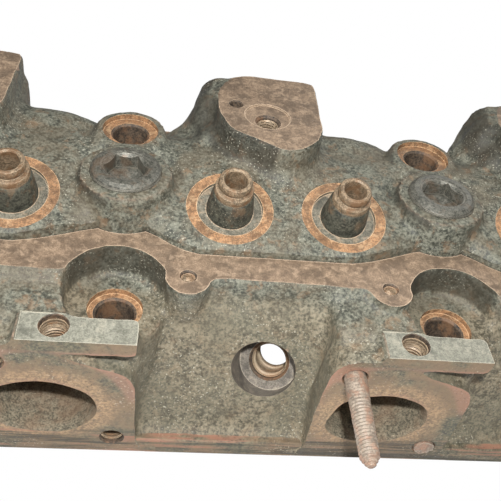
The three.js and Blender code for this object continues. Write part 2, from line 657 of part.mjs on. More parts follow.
function hexPlug(x) {
  const body = latheSolid([
    [0, 0],
    [PLUG_THREAD_RADIUS, 0],
    [PLUG_THREAD_RADIUS, PLUG_THREAD_LENGTH],
    [PLUG_RADIUS, PLUG_THREAD_LENGTH],
    [PLUG_RADIUS, PLUG_THREAD_LENGTH + PLUG_HEAD - 1.6],
    [PLUG_RADIUS - 1.6, PLUG_THREAD_LENGTH + PLUG_HEAD],
    [0, PLUG_THREAD_LENGTH + PLUG_HEAD],
  ], FITTED_SIDES, V(x, PLUG_Y, PLUG_TOP_Z - PLUG_HEAD - PLUG_THREAD_LENGTH), UP);
  const corner = PLUG_HEX / Math.sqrt(3);
  const socket = rod(V(x, PLUG_Y, PLUG_TOP_Z - PLUG_HEX_DEPTH), UP, corner, THROUGH, 6);
  const countersink = rod(V(x, PLUG_Y, PLUG_TOP_Z - 1.2), UP, PLUG_HEX / 2 - 0.1, 2.4, 12, PLUG_HEX / 2 + 3);
  const point = rod(V(x, PLUG_Y, PLUG_TOP_Z - PLUG_HEX_DEPTH - 3), UP, 0.6, 3.2, 6, PLUG_HEX / 2 - 1);
  return body.subtract(joined([socket, countersink, point]));
}

function stud(centre, place, standing, tip) {
  const x = centre + BOSS_OFFSET + place.x;
  const inside = place.depth - CLEARANCE;
  return latheSolid([
    [0, -inside],
    [STUD_RADIUS - 0.8, -inside],
    [STUD_RADIUS, -inside + 0.8],
    [STUD_RADIUS, standing - tip],
    [STUD_RADIUS * 0.55, standing],
    [0, standing],
  ], FITTED_SIDES, V(x, faceY(place.z), place.z), faceNormal);
}

function cupPlug(sign) {
  const inner = END_PLUG_RADIUS - END_PLUG_WALL;
  const place = V(sign * (halfLength - END_PLUG_DEPTH), END_PLUG_PLACE.y, END_PLUG_PLACE.z);
  return latheSolid([
    [0, 0],
    [END_PLUG_RADIUS - 1, 0],
    [END_PLUG_RADIUS, 1],
    [END_PLUG_RADIUS, END_PLUG_DEPTH - 0.5],
    [inner, END_PLUG_DEPTH - 0.5],
    [inner - 0.6, END_PLUG_WALL],
    [0, END_PLUG_WALL],
  ], FITTED_SIDES, place, V(sign, 0, 0));
}

function pipePlug() {
  const origin = V(halfLength - PIPE_PLUG_LENGTH, PIPE_PLUG_PLACE.y, PIPE_PLUG_PLACE.z);
  const body = rod(origin, V(1, 0, 0), PIPE_PLUG_RADIUS, PIPE_PLUG_LENGTH - 1, FITTED_SIDES);
  const half = PIPE_PLUG_SQUARE / 2;
  const socket = box(
    V(halfLength - PIPE_PLUG_SOCKET_DEPTH, PIPE_PLUG_PLACE.y - half, PIPE_PLUG_PLACE.z - half),
    V(halfLength + OVERRUN, PIPE_PLUG_PLACE.y + half, PIPE_PLUG_PLACE.z + half));
  return body.subtract(socket);
}

// ---- the assembly -------------------------------------------------------------------------------

const materials = {
  casting: () => new THREE.MeshStandardMaterial({ color: 0x5f5f55, roughness: 0.85, metalness: 0.3 }),
  guide: () => new THREE.MeshStandardMaterial({ color: 0xa07a55, roughness: 0.7, metalness: 0.4 }),
  seat: () => new THREE.MeshStandardMaterial({ color: 0x6d6a66, roughness: 0.45, metalness: 0.8 }),
  plug: () => new THREE.MeshStandardMaterial({ color: 0x4a4a48, roughness: 0.5, metalness: 0.6 }),
  stud: () => new THREE.MeshStandardMaterial({ color: 0xbda591, roughness: 0.75, metalness: 0.3 }),
  cup: () => new THREE.MeshStandardMaterial({ color: 0x8c8168, roughness: 0.55, metalness: 0.6 }),
};

const head = new THREE.Group();

function addPiece(name, manifold, material) {
  const mesh = new THREE.Mesh(geometryOf(manifold), material);
  mesh.name = name;
  head.add(mesh);
}

addPiece('head_casting', headCasting(), materials.casting());
cylinders.forEach((centre, i) => {
  const intake = centre - VALVE_SPACING / 2;
  const exhaust = centre + VALVE_SPACING / 2;
  addPiece(`intake_valve_guide_${i + 1}`, valveGuide(intake), materials.guide());
  addPiece(`exhaust_valve_guide_${i + 1}`, valveGuide(exhaust), materials.guide());
  addPiece(`intake_valve_seat_${i + 1}`, valveSeat(intake, INTAKE_THROAT_RADIUS), materials.seat());
  addPiece(`exhaust_valve_seat_${i + 1}`, valveSeat(exhaust, EXHAUST_THROAT_RADIUS), materials.seat());
});
plugs.forEach((x, i) => addPiece(`hex_jacket_plug_${i + 1}`, hexPlug(x), materials.plug()));
addPiece('exhaust_stud', stud(cylinders[1], UPPER_STUD, STUD_STANDING, 4), materials.stud());
addPiece('broken_exhaust_stud', stud(cylinders[1], LOWER_STUD, 1.6, 1.2), materials.stud());
addPiece('front_cup_plug', cupPlug(-1), materials.cup());
addPiece('rear_cup_plug', cupPlug(1), materials.cup());
addPiece('pipe_plug', pipePlug(), materials.plug());

// The origin is on the deck plane, under the middle of the whole part.
const middle = new THREE.Box3().setFromObject(head).getCenter(V());
head.position.set(-middle.x, -middle.y, 0);

export default head;
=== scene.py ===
import json
import math

import bmesh
import bpy
import numpy as np
from bpy.props import FloatProperty, FloatVectorProperty, IntProperty, PointerProperty
from mathutils import Matrix, Vector, noise

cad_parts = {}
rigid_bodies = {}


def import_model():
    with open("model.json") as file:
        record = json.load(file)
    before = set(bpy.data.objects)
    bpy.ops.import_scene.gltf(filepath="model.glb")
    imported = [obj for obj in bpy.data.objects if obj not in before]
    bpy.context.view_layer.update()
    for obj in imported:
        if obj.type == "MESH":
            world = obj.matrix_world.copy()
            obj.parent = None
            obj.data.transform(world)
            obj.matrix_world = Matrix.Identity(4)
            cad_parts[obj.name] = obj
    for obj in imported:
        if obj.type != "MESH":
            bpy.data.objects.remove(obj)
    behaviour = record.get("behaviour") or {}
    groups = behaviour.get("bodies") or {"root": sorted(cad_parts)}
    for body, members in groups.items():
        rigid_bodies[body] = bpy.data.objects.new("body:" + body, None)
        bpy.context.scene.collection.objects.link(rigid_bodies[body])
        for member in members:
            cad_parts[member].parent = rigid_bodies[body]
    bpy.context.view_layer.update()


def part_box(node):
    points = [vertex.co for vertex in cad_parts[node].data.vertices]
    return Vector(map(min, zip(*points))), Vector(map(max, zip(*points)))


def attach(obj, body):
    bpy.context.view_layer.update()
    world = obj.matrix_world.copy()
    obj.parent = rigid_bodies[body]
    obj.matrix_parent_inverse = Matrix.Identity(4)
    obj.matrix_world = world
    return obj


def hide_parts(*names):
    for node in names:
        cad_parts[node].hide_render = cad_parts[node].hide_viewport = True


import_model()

bl_info = {
    "name": "Weathered Cylinder Head",
    "version": (1, 0, 0),
    "blender": (4, 5, 0),
    "location": "3D View > Sidebar > Cylinder Head",
    "description": "Builds a bare, rusted overhead-valve cylinder head round its CAD frame",
    "category": "Object",
}

# ---- places and sizes --------------------------------------------------------------------------
# Sizes are in millimetres in the head's own coordinates: X along the head from its middle, Y across
# it from the datum of the valve gear towards the intake side, Z up from the deck.

MM = 0.001
CASTING_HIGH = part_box("head_casting")[1]


def centre_of(node):
    low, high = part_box(node)
    return (low + high) / 2


INTAKE_FACE_Y = 60.0
DATUM_Y = CASTING_HIGH.y / MM - INTAKE_FACE_Y
PLUG_X = [centre_of(f"hex_jacket_plug_{i}").x / MM for i in (1, 2)]
PITCH = PLUG_X[1] - PLUG_X[0]
CYLINDER_X = [-PITCH, 0.0, PITCH]
BOLT_X = [-1.5 * PITCH, -0.5 * PITCH, 0.5 * PITCH, 1.5 * PITCH]
HALF_LENGTH = CASTING_HIGH.x / MM
STAND_TOP_Z = CASTING_HIGH.z / MM

LIP_Y = -72.6
LIP_HEIGHT = 8.0
RAIL_Z = 70.0
RAIL_OUTER_Y = -49.5
RAIL_WIDTH = 12.5
RAIL_INNER_Y = RAIL_OUTER_Y + RAIL_WIDTH
# Inner edge of the rail where it swings round a front bolt: from the bolt along X, and Y.
RAIL_BEND = ((-36, -36.5), (-28, -34.5), (-20, -31.5), (-12, -28.2), (-5, -26.0), (2, -25.2),
             (8, -26.4), (13, -29.2), (18, -33.0), (23, -35.6), (28, -37.0))
REAR_RAIL_Z = 57.0
REAR_RAIL_WIDTH = 13.0
COVER_SCREW_OFFSET = 36.0
COVER_SCREW_X = [CYLINDER_X[0] - COVER_SCREW_OFFSET, -COVER_SCREW_OFFSET, COVER_SCREW_OFFSET,
                 CYLINDER_X[-1] + COVER_SCREW_OFFSET]

VALVE_SPACING = 43.0
VALVE_TILT = math.radians(14.5)
VALVE_AXIS = Vector((0, -math.sin(VALVE_TILT), math.cos(VALVE_TILT)))
SPRING_SEAT = Vector((0, -19.5, 78.0))
SPRING_SEAT_RADIUS = 16.2
SPRING_RECESS_RADIUS = 12.3
GUIDE_BOSS_RADIUS = 8.3
GUIDE_BOSS_HEIGHT = 9.5
GUIDE_RADIUS = 6.5
GUIDE_BORE = 4.0
GUIDE_TOP = 16.5
GUIDE_LENGTH = 56.0
ROOF_DEPTH = 70.0
SEAT_HEIGHT = 7.0
SEAT_WALL = 4.0
THROATS = {-1: 17.0, 1: 14.0}

FRONT_BOLT_Y = -53.0
REAR_BOLT_Y = 18.0
BOLT_RADIUS = 6.75
FRONT_NOTCH_RADIUS = 17.5
FRONT_BOSS_Z = 55.0
BOLT_SPOT_RADIUS = 10.8
FLOOR_Z = 82.0

PLUG_LOW, PLUG_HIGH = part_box("hex_jacket_plug_1")
PLUG_Y = centre_of("hex_jacket_plug_1").y / MM - DATUM_Y
PLUG_TOP_Z = PLUG_HIGH.z / MM
PLUG_RADIUS = (PLUG_HIGH.x - PLUG_LOW.x) / 2 / MM
PLUG_BOSS_WALL = 4
PLUG_BOSS_RADIUS = PLUG_RADIUS + PLUG_BOSS_WALL
PLUG_STANDING = 2.6
SOCKET_WIDTH = 14

BOSS_OFFSET = 42.0
BOSS_HALF = 28.0
FACE_TOP_Y = -76.0
FACE_TOP_Z = 62.0
FACE_TILT = math.radians(3.2)
FACE_NORMAL = Vector((0, -math.cos(FACE_TILT), -math.sin(FACE_TILT)))
LEDGE_Z = 65.0
LEDGE_DEPTH = 10.5
LEDGE_BORE_INSET = 6.5
PORT_OFFSET = -4.5
PORT_Z = 29.0
UPPER_STUD = (-19.5, 53.0)
LOWER_STUD = (19.5, 9.5)
STUD_RADIUS = 4.0
STUD_STANDING = 33.0
STUD_ROOT = 21.5
STUMP_RADIUS = 3.9

SPARK_SEAT = Vector((-1, -49, 28))
SPARK_AXIS = Vector((0.31, 0.78, -0.55)).normalized()

# Holes of each cylinder, from its axis along X and from the datum along Y.
STAND_BOLT = (-7.3, 15.5)
STAND_SPOT = (-7.3, 18.5)
STAND_SPOT_DEPTH = 0.8
OIL_HOLE = (-19.4, 25.5)
PUSHRODS = ((-48, 41), (24, 41))
INTAKE_BOLTS = ((-1.5, 9), (-1.5, 47))    # along X, and up from the deck

# Rails' screws, and what is bored into the two ends (Y, Z).
COVER_SCREW_Y = RAIL_OUTER_Y + 1
REAR_SCREW_Y = INTAKE_FACE_Y - REAR_RAIL_WIDTH / 2
CUP_PLACE = (-8, 33)
CUP_DEPTH = 8
PIPE_PLUG_PLACE = (35, 30)
PIPE_PLUG_DEPTH = 14
END_BOLTS = ((-38, 15), (22, 15))

# Water jacket between two cylinders: half width, height, and its distance from the head bolts.
JACKET_HALF_WIDTH = 10
JACKET_FLOOR_Z = 14
JACKET_ROOF_Z = 49
JACKET_WALL = 14.5
JACKET_PASSAGE = 22.5

X_AXIS = Vector((1, 0, 0))
Y_AXIS = Vector((0, 1, 0))
Z_AXIS = Vector((0, 0, 1))

# Material slots of the casting, in the order that every one of its cutters uses.
SKIN, RAIL, RING, SPRING, BORE, PORT, FLANGE, LEDGE, MILLED, BOSS = range(10)


def face_y(z):
    return FACE_TOP_Y + (FACE_TOP_Z - z) * math.tan(FACE_TILT)


def stud_root(centre, stud):
    """Where a stud's axis meets the flange of the cylinder at centre."""
    x, z = stud
    return Vector((centre + BOSS_OFFSET + x, face_y(z), z))


def along_valve(x, distance):
    return Vector((x, SPRING_SEAT.y, SPRING_SEAT.z)) + VALVE_AXIS * distance


def valve_x():
    return [(c + side * VALVE_SPACING / 2, side) for c in CYLINDER_X for side in (-1, 1)]


# ---- mesh tools --------------------------------------------------------------------------------

def outline(points, ease=0.0, steps=6):
    """Corner points of a closed outline, each corner eased over a distance by a short curve."""
    if ease <= 0:
        return [Vector(p) for p in points]
    out = []
    corners = [Vector(p) for p in points]
    for i, corner in enumerate(corners):
        before, after = corners[i - 1], corners[(i + 1) % len(corners)]
        entry = corner.lerp(before, min(0.45, ease / (before - corner).length))
        leave = corner.lerp(after, min(0.45, ease / (after - corner).length))
        for k in range(steps + 1):
            t = k / steps
            out.append(entry.lerp(corner, t).lerp(corner.lerp(leave, t), t))
    return out


def linked(name, data):
    """A new object on its data, linked to the scene."""
    obj = bpy.data.objects.new(name, data)
    bpy.context.scene.collection.objects.link(obj)
    return obj


def discard(obj):
    """Removes an object together with its mesh."""
    mesh = obj.data
    bpy.data.objects.remove(obj)
    bpy.data.meshes.remove(mesh)


def to_object(name, bm, materials=(), merge=0.0):
    """Turns a mesh in millimetres and head coordinates into an object in the row frame."""
    if merge:
        bmesh.ops.remove_doubles(bm, verts=bm.verts, dist=merge)
    bmesh.ops.recalc_face_normals(bm, faces=bm.faces)
    bm.transform(Matrix.Translation((0, DATUM_Y * MM, 0)) @ Matrix.Scale(MM, 4))
    mesh = bpy.data.meshes.new(name)
    bm.to_mesh(mesh)
    bm.free()
    for material in materials:
        mesh.materials.append(material)
    return linked(name, mesh)


def add_prism(bm, points, origin, across, up, depth, side=SKIN, cap=None):
    """An outline in the plane of across and up, extruded along their cross product.

    The caps take the sides' material where they have none of their own.
    """
    forward = across.cross(up)
    near = [bm.verts.new(origin + across * p.x + up * p.y) for p in points]
    far = [bm.verts.new(v.co + forward * depth) for v in near]
    faces = [bm.faces.new(near[::-1]), bm.faces.new(far)]
    for face in faces:
        face.material_index = side if cap is None else cap
    count = len(points)
    for i in range(count):
        j = (i + 1) % count
        bm.faces.new((near[i], near[j], far[j], far[i])).material_index = side


def frame_of(axis):
    """Two directions square to an axis, the first as near to X as it can be."""
    axis = axis.normalized()
    start = X_AXIS if abs(axis.x) < 0.9 else Y_AXIS
    across = (start - axis * start.dot(axis)).normalized()
    return across, axis.cross(across)


def add_turned(bm, profile, origin, axis, sides=48, marks=SKIN):
    """A profile of (radius, height) points turned round an axis. Marks give each band's material."""
    axis = axis.normalized()
    across, up = frame_of(axis)
    rings = []
    for radius, height in profile:
        centre = origin + axis * height
        if radius <= 1e-6:
            rings.append([bm.verts.new(centre)])
            continue
        rings.append([
            bm.verts.new(centre + (across * math.cos(a) + up * math.sin(a)) * radius)
            for a in (2 * math.pi * k / sides for k in range(sides))])
    for i in range(len(rings) - 1):
        low, high = rings[i], rings[i + 1]
        mark = marks if isinstance(marks, int) else marks[i]
        for k in range(sides):
            m = (k + 1) % sides
            if len(low) == 1 and len(high) == 1:
                continue
            if len(low) == 1:
                corners = (low[0], high[m], high[k])
            elif len(high) == 1:
                corners = (low[k], low[m], high[0])
            else:
                corners = (low[k], low[m], high[m], high[k])
            bm.faces.new(corners).material_index = mark


def add_rod(bm, start, axis, radius, length, sides=48, end_radius=None, side=SKIN, cap=None):
    """A round bar or a cone; its caps take the side's material where they have none of their own."""
    end = radius if end_radius is None else end_radius
    cap = side if cap is None else cap
    add_turned(bm, [(0, 0), (radius, 0), (end, length), (0, length)], start, axis, sides,
               (cap, side, cap))


def mark_faces(verts, mark):
    for face in {f for v in verts for f in v.link_faces}:
        face.material_index = mark


def add_box(bm, low, high, mark=SKIN):
    made = bmesh.ops.create_cube(bm, size=1.0)
    low, high = Vector(low), Vector(high)
    for v in made["verts"]:
        v.co = Vector(((low + high)[i] / 2 + v.co[i] * (high - low)[i] for i in range(3)))
    mark_faces(made["verts"], mark)


def add_ball(bm, centre, radii, mark=SKIN):
    made = bmesh.ops.create_icosphere(bm, subdivisions=4, radius=1.0)
    for v in made["verts"]:
        v.co = Vector(centre) + Vector((v.co[i] * radii[i] for i in range(3)))
    mark_faces(made["verts"], mark)


def catmull(points, t):
    """Point on the smooth curve through the points, t from 0 to 1."""
    spans = len(points) - 1
    place = min(t * spans, spans - 1e-9)
    i = int(place)
    f = place - i
    p1, p2 = points[i], points[i + 1]
    p0 = points[i - 1] if i > 0 else p1 * 2 - p2
    p3 = points[i + 2] if i + 2 <= spans else p2 * 2 - p1
    return (p1 * 2 + (p2 - p0) * f + (p0 * 2 - p1 * 5 + p2 * 4 - p3) * f * f
            + (p1 * 3 - p0 - p2 * 3 + p3) * f ** 3) / 2


def path_frame(path, t):
    """A point on the smooth curve of a path, and two directions across the path, the first near X."""
    tangent = (catmull(path, min(1, t + 0.01)) - catmull(path, max(0, t - 0.01))).normalized()
    across = (X_AXIS - tangent * tangent.x).normalized()
    return catmull(path, t), across, across.cross(tangent)


def add_loft(bm, loops, mark=SKIN):
    """A closed skin through loops that have the same number of points."""
    rows = [[bm.verts.new(p) for p in loop] for loop in loops]
    count = len(rows[0])
    for low, high in zip(rows, rows[1:]):
        for k in range(count):
            m = (k + 1) % count
            bm.faces.new((low[k], low[m], high[m], high[k])).material_index = mark
    bm.faces.new(rows[0][::-1]).material_index = mark
    bm.faces.new(rows[-1]).material_index = mark


def add_duct(bm, path, start, end, squareness, rings=28, sides=56, mark=PORT):
    """A passage along a path, its section going from start to end (width, height)."""
    loops = []
    for i in range(rings + 1):
        t = i / rings
        centre, across, up = path_frame(path, t)
        power = 2 + (squareness - 2) * (1 - t)
        half = (Vector(start).lerp(Vector(end), t)) / 2
        loop = []
        for k in range(sides):
            a = 2 * math.pi * k / sides
            c, s = math.cos(a), math.sin(a)
            reach = (abs(c) ** power + abs(s) ** power) ** (-1 / power)
            loop.append(centre + across * (c * reach * half.x) + up * (s * reach * half.y))
        loops.append(loop)
    add_loft(bm, loops, mark)


def settle(obj):
    """Applies an object's modifiers into a fresh plain mesh."""
    graph = bpy.context.evaluated_depsgraph_get()
    graph.update()
    mesh = bpy.data.meshes.new_from_object(obj.evaluated_get(graph))
    obj.modifiers.clear()
    old = obj.data
    obj.data = mesh
    bpy.data.meshes.remove(old)
    return obj


def remesh(obj, voxel, passes, factor=0.5):
    """Melts overlapping solids into one skin and rounds its edges as sand casting does."""
    modifier = obj.modifiers.new("melt", "REMESH")
    modifier.mode = "VOXEL"
    modifier.voxel_size = voxel * MM
    smooth = obj.modifiers.new("round", "SMOOTH")
    smooth.factor = factor
    smooth.iterations = passes
    return settle(obj)


def cut(obj, cutters, operation="DIFFERENCE"):
    """Cuts or joins a list of closed objects into obj, then throws them away."""
    group = bpy.data.collections.new("cutters")
    for cutter in cutters:
        for user in list(cutter.users_collection):
            user.objects.unlink(cutter)
        group.objects.link(cutter)
    bpy.context.scene.collection.children.link(group)
    modifier = obj.modifiers.new("machine", "BOOLEAN")
    modifier.operation = operation
    modifier.operand_type = "COLLECTION"
    modifier.collection = group
    modifier.solver = "MANIFOLD"
    modifier.material_mode = "INDEX"
    settle(obj)
    for cutter in cutters:
        discard(cutter)
    bpy.data.collections.remove(group)
    return obj


class Tools:
    """Collects closed cutters, each made as an object of its own."""

    def __init__(self, materials):
        self.materials = materials
        self.objects = []

    def add(self, make, *args, **kwargs):
        bm = bmesh.new()
        make(bm, *args, **kwargs)
        self.objects.append(to_object(f"tool_{len(self.objects)}", bm, self.materials))


# ---- the casting -------------------------------------------------------------------------------

CAST_VOXEL = 1.4
CAST_STOCK = 1.5         # metal left on the casting where a face is machined later
PAST = 8.0               # how far a tool runs past the surface that it cuts
CLEAR_Z = 120            # a height over every surface of the head


def add_main_body(bm):
    section = [
        (LIP_Y, -CAST_STOCK), (INTAKE_FACE_Y + CAST_STOCK, -CAST_STOCK),
        (INTAKE_FACE_Y + CAST_STOCK, REAR_RAIL_Z + CAST_STOCK), (44, REAR_RAIL_Z + CAST_STOCK),
        (36, 67), (27, 76), (17, 81), (9, 82.5), (-4, FLOOR_Z),
        (RAIL_INNER_Y + 2, 74), (RAIL_INNER_Y - 1, RAIL_Z + CAST_STOCK),
        (RAIL_OUTER_Y, RAIL_Z + CAST_STOCK), (RAIL_OUTER_Y - 0.5, RAIL_Z - 9),
        (RAIL_OUTER_Y - 4, RAIL_Z - 13), (LIP_Y + 7, LIP_HEIGHT + 5),
        (LIP_Y + 5, LIP_HEIGHT), (LIP_Y, LIP_HEIGHT - 0.5)]
    length = 2 * (HALF_LENGTH + CAST_STOCK)
    add_prism(bm, outline(section), Vector((-length / 2, 0, 0)), Y_AXIS, Z_AXIS, length)


STAND_OUTLINE = ((-18, 50), (16, 49), (14, 7), (4.5, -4), (-4.8, -4.8), (-10, 0.3), (-23, 6.5),
                 (-28, 23))


def add_stand(bm, centre):
    """Rocker stand: its flat-topped column, a flared foot, and the shoulder that falls to its left."""
    top = [Vector((centre + x, y)) for x, y in STAND_OUTLINE]
    middle = sum(top, Vector((0, 0))) / len(top)
    add_prism(bm, outline(top, 5), Vector((0, 0, 60)), X_AXIS, Y_AXIS, STAND_TOP_Z + CAST_STOCK - 60)
    foot = [middle + (p - middle) * 1.07 for p in top]
    add_prism(bm, outline(foot, 6), Vector((0, 0, 56)), X_AXIS, Y_AXIS, 27)
    foot = ((-50, 67), (-44, 72.5), (-39.5, 76.5), (-36, 84), (-33.8, 91), (-31, 94), (-26, 94.4))
    back = ((-36.5, 70), (-35, 80), (-33.3, 88), (-30.5, 93), (-27, 94.4))
    for line, near, far, drop in ((foot, 28, 38, 0), (back, 34, 48, 0), (foot, 16, 30, 8)):
        shoulder = [(x, z - drop) for x, z in line]
        shoulder += [(-14, 94.4 - drop), (-14, 56), (line[0][0], 56)]
        points = outline([(centre + x, z) for x, z in shoulder], 1.5)
        add_prism(bm, points, Vector((0, far, 0)), X_AXIS, Z_AXIS, far - near)


def add_exhaust_boss(bm, middle):
    back = RAIL_OUTER_Y + 6
    core = [(back, 2), (FACE_TOP_Y + 8, 2), (FACE_TOP_Y + 6, LEDGE_Z - 15),
            (FACE_TOP_Y + 7, LEDGE_Z - 6), (FACE_TOP_Y + 10, LEDGE_Z),
            (RAIL_OUTER_Y - 4, LEDGE_Z + 1.5), (back, LEDGE_Z)]
    add_prism(bm, outline(core, 3), Vector((middle - BOSS_HALF + 1.5, 0, 0)), Y_AXIS, Z_AXIS,
              2 * BOSS_HALF - 1.5)


def add_ledge(bm, middle):
    """Machined ledge over a flange; it stands clear of the hollow round the front bolt."""
    back = FACE_TOP_Y + LEDGE_DEPTH
    profile = [(back, LEDGE_Z - 13), (FACE_TOP_Y + 7, LEDGE_Z - 13), (FACE_TOP_Y - 2, LEDGE_Z - 4),
               (FACE_TOP_Y - 2, LEDGE_Z + CAST_STOCK), (back, LEDGE_Z + CAST_STOCK)]
    add_prism(bm, outline(profile, 0.8), Vector((middle - 12, 0, 0)), Y_AXIS, Z_AXIS, BOSS_HALF + 10.5)


def add_pad(bm, middle):
    """Flange pad round a port, its face leaning with the manifold."""
    pad = [(-BOSS_HALF, 2), (-BOSS_HALF - 1, 38), (-BOSS_HALF, 56), (-BOSS_HALF + 5, FACE_TOP_Z),
           (-11, FACE_TOP_Z), (BOSS_HALF - 4, 48), (BOSS_HALF - 1, 41), (BOSS_HALF, 2)]
    lean = Matrix.Rotation(FACE_TILT, 3, "X")
    corners = outline([(middle + x, z - FACE_TOP_Z) for x, z in pad], 4)
    origin = Vector((0, FACE_TOP_Y, FACE_TOP_Z)) - FACE_NORMAL * 11
    add_prism(bm, corners, origin, X_AXIS, lean @ Z_AXIS, 11 + CAST_STOCK)


def roughen(obj, depth, scale):
    """Pushes the skin in and out as a sand mould's surface does."""
    mesh = obj.data
    count = len(mesh.vertices)
    places = np.empty(count * 3)
    normals = np.empty(count * 3)
    mesh.vertices.foreach_get("co", places)
    mesh.vertices.foreach_get("normal", normals)
    places = places.reshape(-1, 3)
    normals = normals.reshape(-1, 3)
    lumps = np.array([noise.noise(Vector(p) * scale) + 0.5 * noise.noise(Vector(p) * scale * 2.7)
                      for p in places])
    places += normals * (lumps * depth)[:, None]
    mesh.vertices.foreach_set("co", places.ravel())
    mesh.update()


def rough_casting(materials, settings):
    main = Tools(materials)
    main.add(add_main_body)
    for centre in CYLINDER_X:
        main.add(add_stand, centre)
        main.add(add_ball, (centre + 26, 24, 67), (32, 15, 16))
        main.add(add_exhaust_boss, centre + BOSS_OFFSET)
    body = fuse("cylinder_head_casting", main.objects)
    remesh(body, 2.0, settings.fillet_passes)

    clear = Tools(materials)
    for x in BOLT_X:
        clear.add(add_rod, Vector((x, FRONT_BOLT_Y, RAIL_Z + CAST_STOCK)), Z_AXIS,
                  FRONT_NOTCH_RADIUS + 9, 12, end_radius=FRONT_NOTCH_RADIUS + 18)
        clear.add(add_rod, Vector((x, FRONT_BOLT_Y, FRONT_BOSS_Z)), Z_AXIS, FRONT_NOTCH_RADIUS, 60)
        if abs(x) > PITCH:
            past = math.copysign(HALF_LENGTH + PAST, x)
            clear.add(add_box, (min(x, past), LIP_Y - PAST, FRONT_BOSS_Z),
                      (max(x, past), FRONT_BOLT_Y + FRONT_NOTCH_RADIUS, STAND_TOP_Z))
    for x in PLUG_X:
        clear.add(add_rod, Vector((x, PLUG_Y - 2, 79)), Z_AXIS, 20, 8, end_radius=27)
    cut(body, clear.objects)

    small = Tools(materials)
    for x in BOLT_X:
        small.add(add_rod, Vector((x, FRONT_BOLT_Y, 2)), Z_AXIS, 16.5, FRONT_BOSS_Z + CAST_STOCK - 2)
        small.add(add_rod, Vector((x, REAR_BOLT_Y, 40)), Z_AXIS, 15.5, FLOOR_Z + 1.5 - 40, end_radius=14)
    for x in COVER_SCREW_X:
        small.add(add_rod, Vector((x, RAIL_OUTER_Y, RAIL_Z - 15)), Z_AXIS, 6.5, 15 + CAST_STOCK,
                  end_radius=7.8)
    for x in PLUG_X:
        small.add(add_rod, Vector((x, PLUG_Y, 60)), Z_AXIS, PLUG_BOSS_RADIUS + 2.5,
                  PLUG_TOP_Z - PLUG_STANDING - 60, end_radius=PLUG_BOSS_RADIUS)
    for centre in CYLINDER_X:
        small.add(add_pad, centre + BOSS_OFFSET)
        small.add(add_ledge, centre + BOSS_OFFSET)
    for x, _ in valve_x():
        small.add(add_rod, along_valve(x, -12), VALVE_AXIS, 18, 12.4, end_radius=16.6)
    body = fuse("cylinder_head_casting", [body] + small.objects)
    remesh(body, CAST_VOXEL, 3)
    roughen(body, settings.rough_depth, settings.rough_scale)
    body.data.materials.clear()
    for material in materials:
        body.data.materials.append(material)
    body.data.polygons.foreach_set("material_index", [SKIN] * len(body.data.polygons))
    return body


def fuse(name, objects):
    """Puts several overlapping solids into one object, ready to be melted together."""
    bm = bmesh.new()
    for obj in objects:
        bm.from_mesh(obj.data)
        discard(obj)
    mesh = bpy.data.meshes.new(name)
    bm.to_mesh(mesh)
    bm.free()
    return linked(name, mesh)


def face_tools(tools):
    """Faces milled flat: deck, ends, intake side, rear cover rail, stand tops, ledges and flanges."""
    far = HALF_LENGTH + PAST
    rear_inner = INTAKE_FACE_Y - REAR_RAIL_WIDTH
    tools.add(add_box, (-far, LIP_Y - 20, -PAST), (far, INTAKE_FACE_Y + PAST, 0), MILLED)
    tools.add(add_box, (-far, LIP_Y - PAST, STAND_TOP_Z), (far, INTAKE_FACE_Y + PAST, CLEAR_Z), RAIL)
    tools.add(add_box, (-far, INTAKE_FACE_Y, -PAST), (far, INTAKE_FACE_Y + PAST, CLEAR_Z), MILLED)
    tools.add(add_box, (-far, rear_inner, REAR_RAIL_Z), (far, INTAKE_FACE_Y + PAST, REAR_RAIL_Z + 14),
              RAIL)
    for sign in (-1, 1):
        low, high = sorted((sign * HALF_LENGTH, sign * far))
        tools.add(add_box, (low, LIP_Y - PAST, -PAST), (high, INTAKE_FACE_Y + PAST, CLEAR_Z), MILLED)
        low, high = sorted((sign * (HALF_LENGTH - RAIL_WIDTH), sign * far))
        slope = [(RAIL_OUTER_Y - 20, RAIL_Z + 2), (RAIL_INNER_Y, RAIL_Z), (rear_inner, REAR_RAIL_Z),
                 (INTAKE_FACE_Y + PAST, REAR_RAIL_Z), (INTAKE_FACE_Y + PAST, CLEAR_Z),
                 (RAIL_OUTER_Y - 20, CLEAR_Z)]
        tools.add(add_prism, outline(slope), Vector((low, 0, 0)), Y_AXIS, Z_AXIS, high - low, RAIL)
    lean = Matrix.Rotation(FACE_TILT, 3, "X")
    for centre in CYLINDER_X:
        middle = centre + BOSS_OFFSET
        tools.add(add_box, (middle - 11, FACE_TOP_Y - PAST, LEDGE_Z),
                  (middle + BOSS_HALF + 3, FACE_TOP_Y + LEDGE_DEPTH + 1, LEDGE_Z + 4), LEDGE)
        left, right = middle - BOSS_HALF - 4, middle + BOSS_HALF + 4
        bottom = -PAST - FACE_TOP_Z
        plane = [(left, bottom), (right, bottom), (right, 6), (left, 6)]
        tools.add(add_prism, outline(plane), Vector((0, FACE_TOP_Y, FACE_TOP_Z)), X_AXIS,
                  lean @ Z_AXIS, PAST, FLANGE)


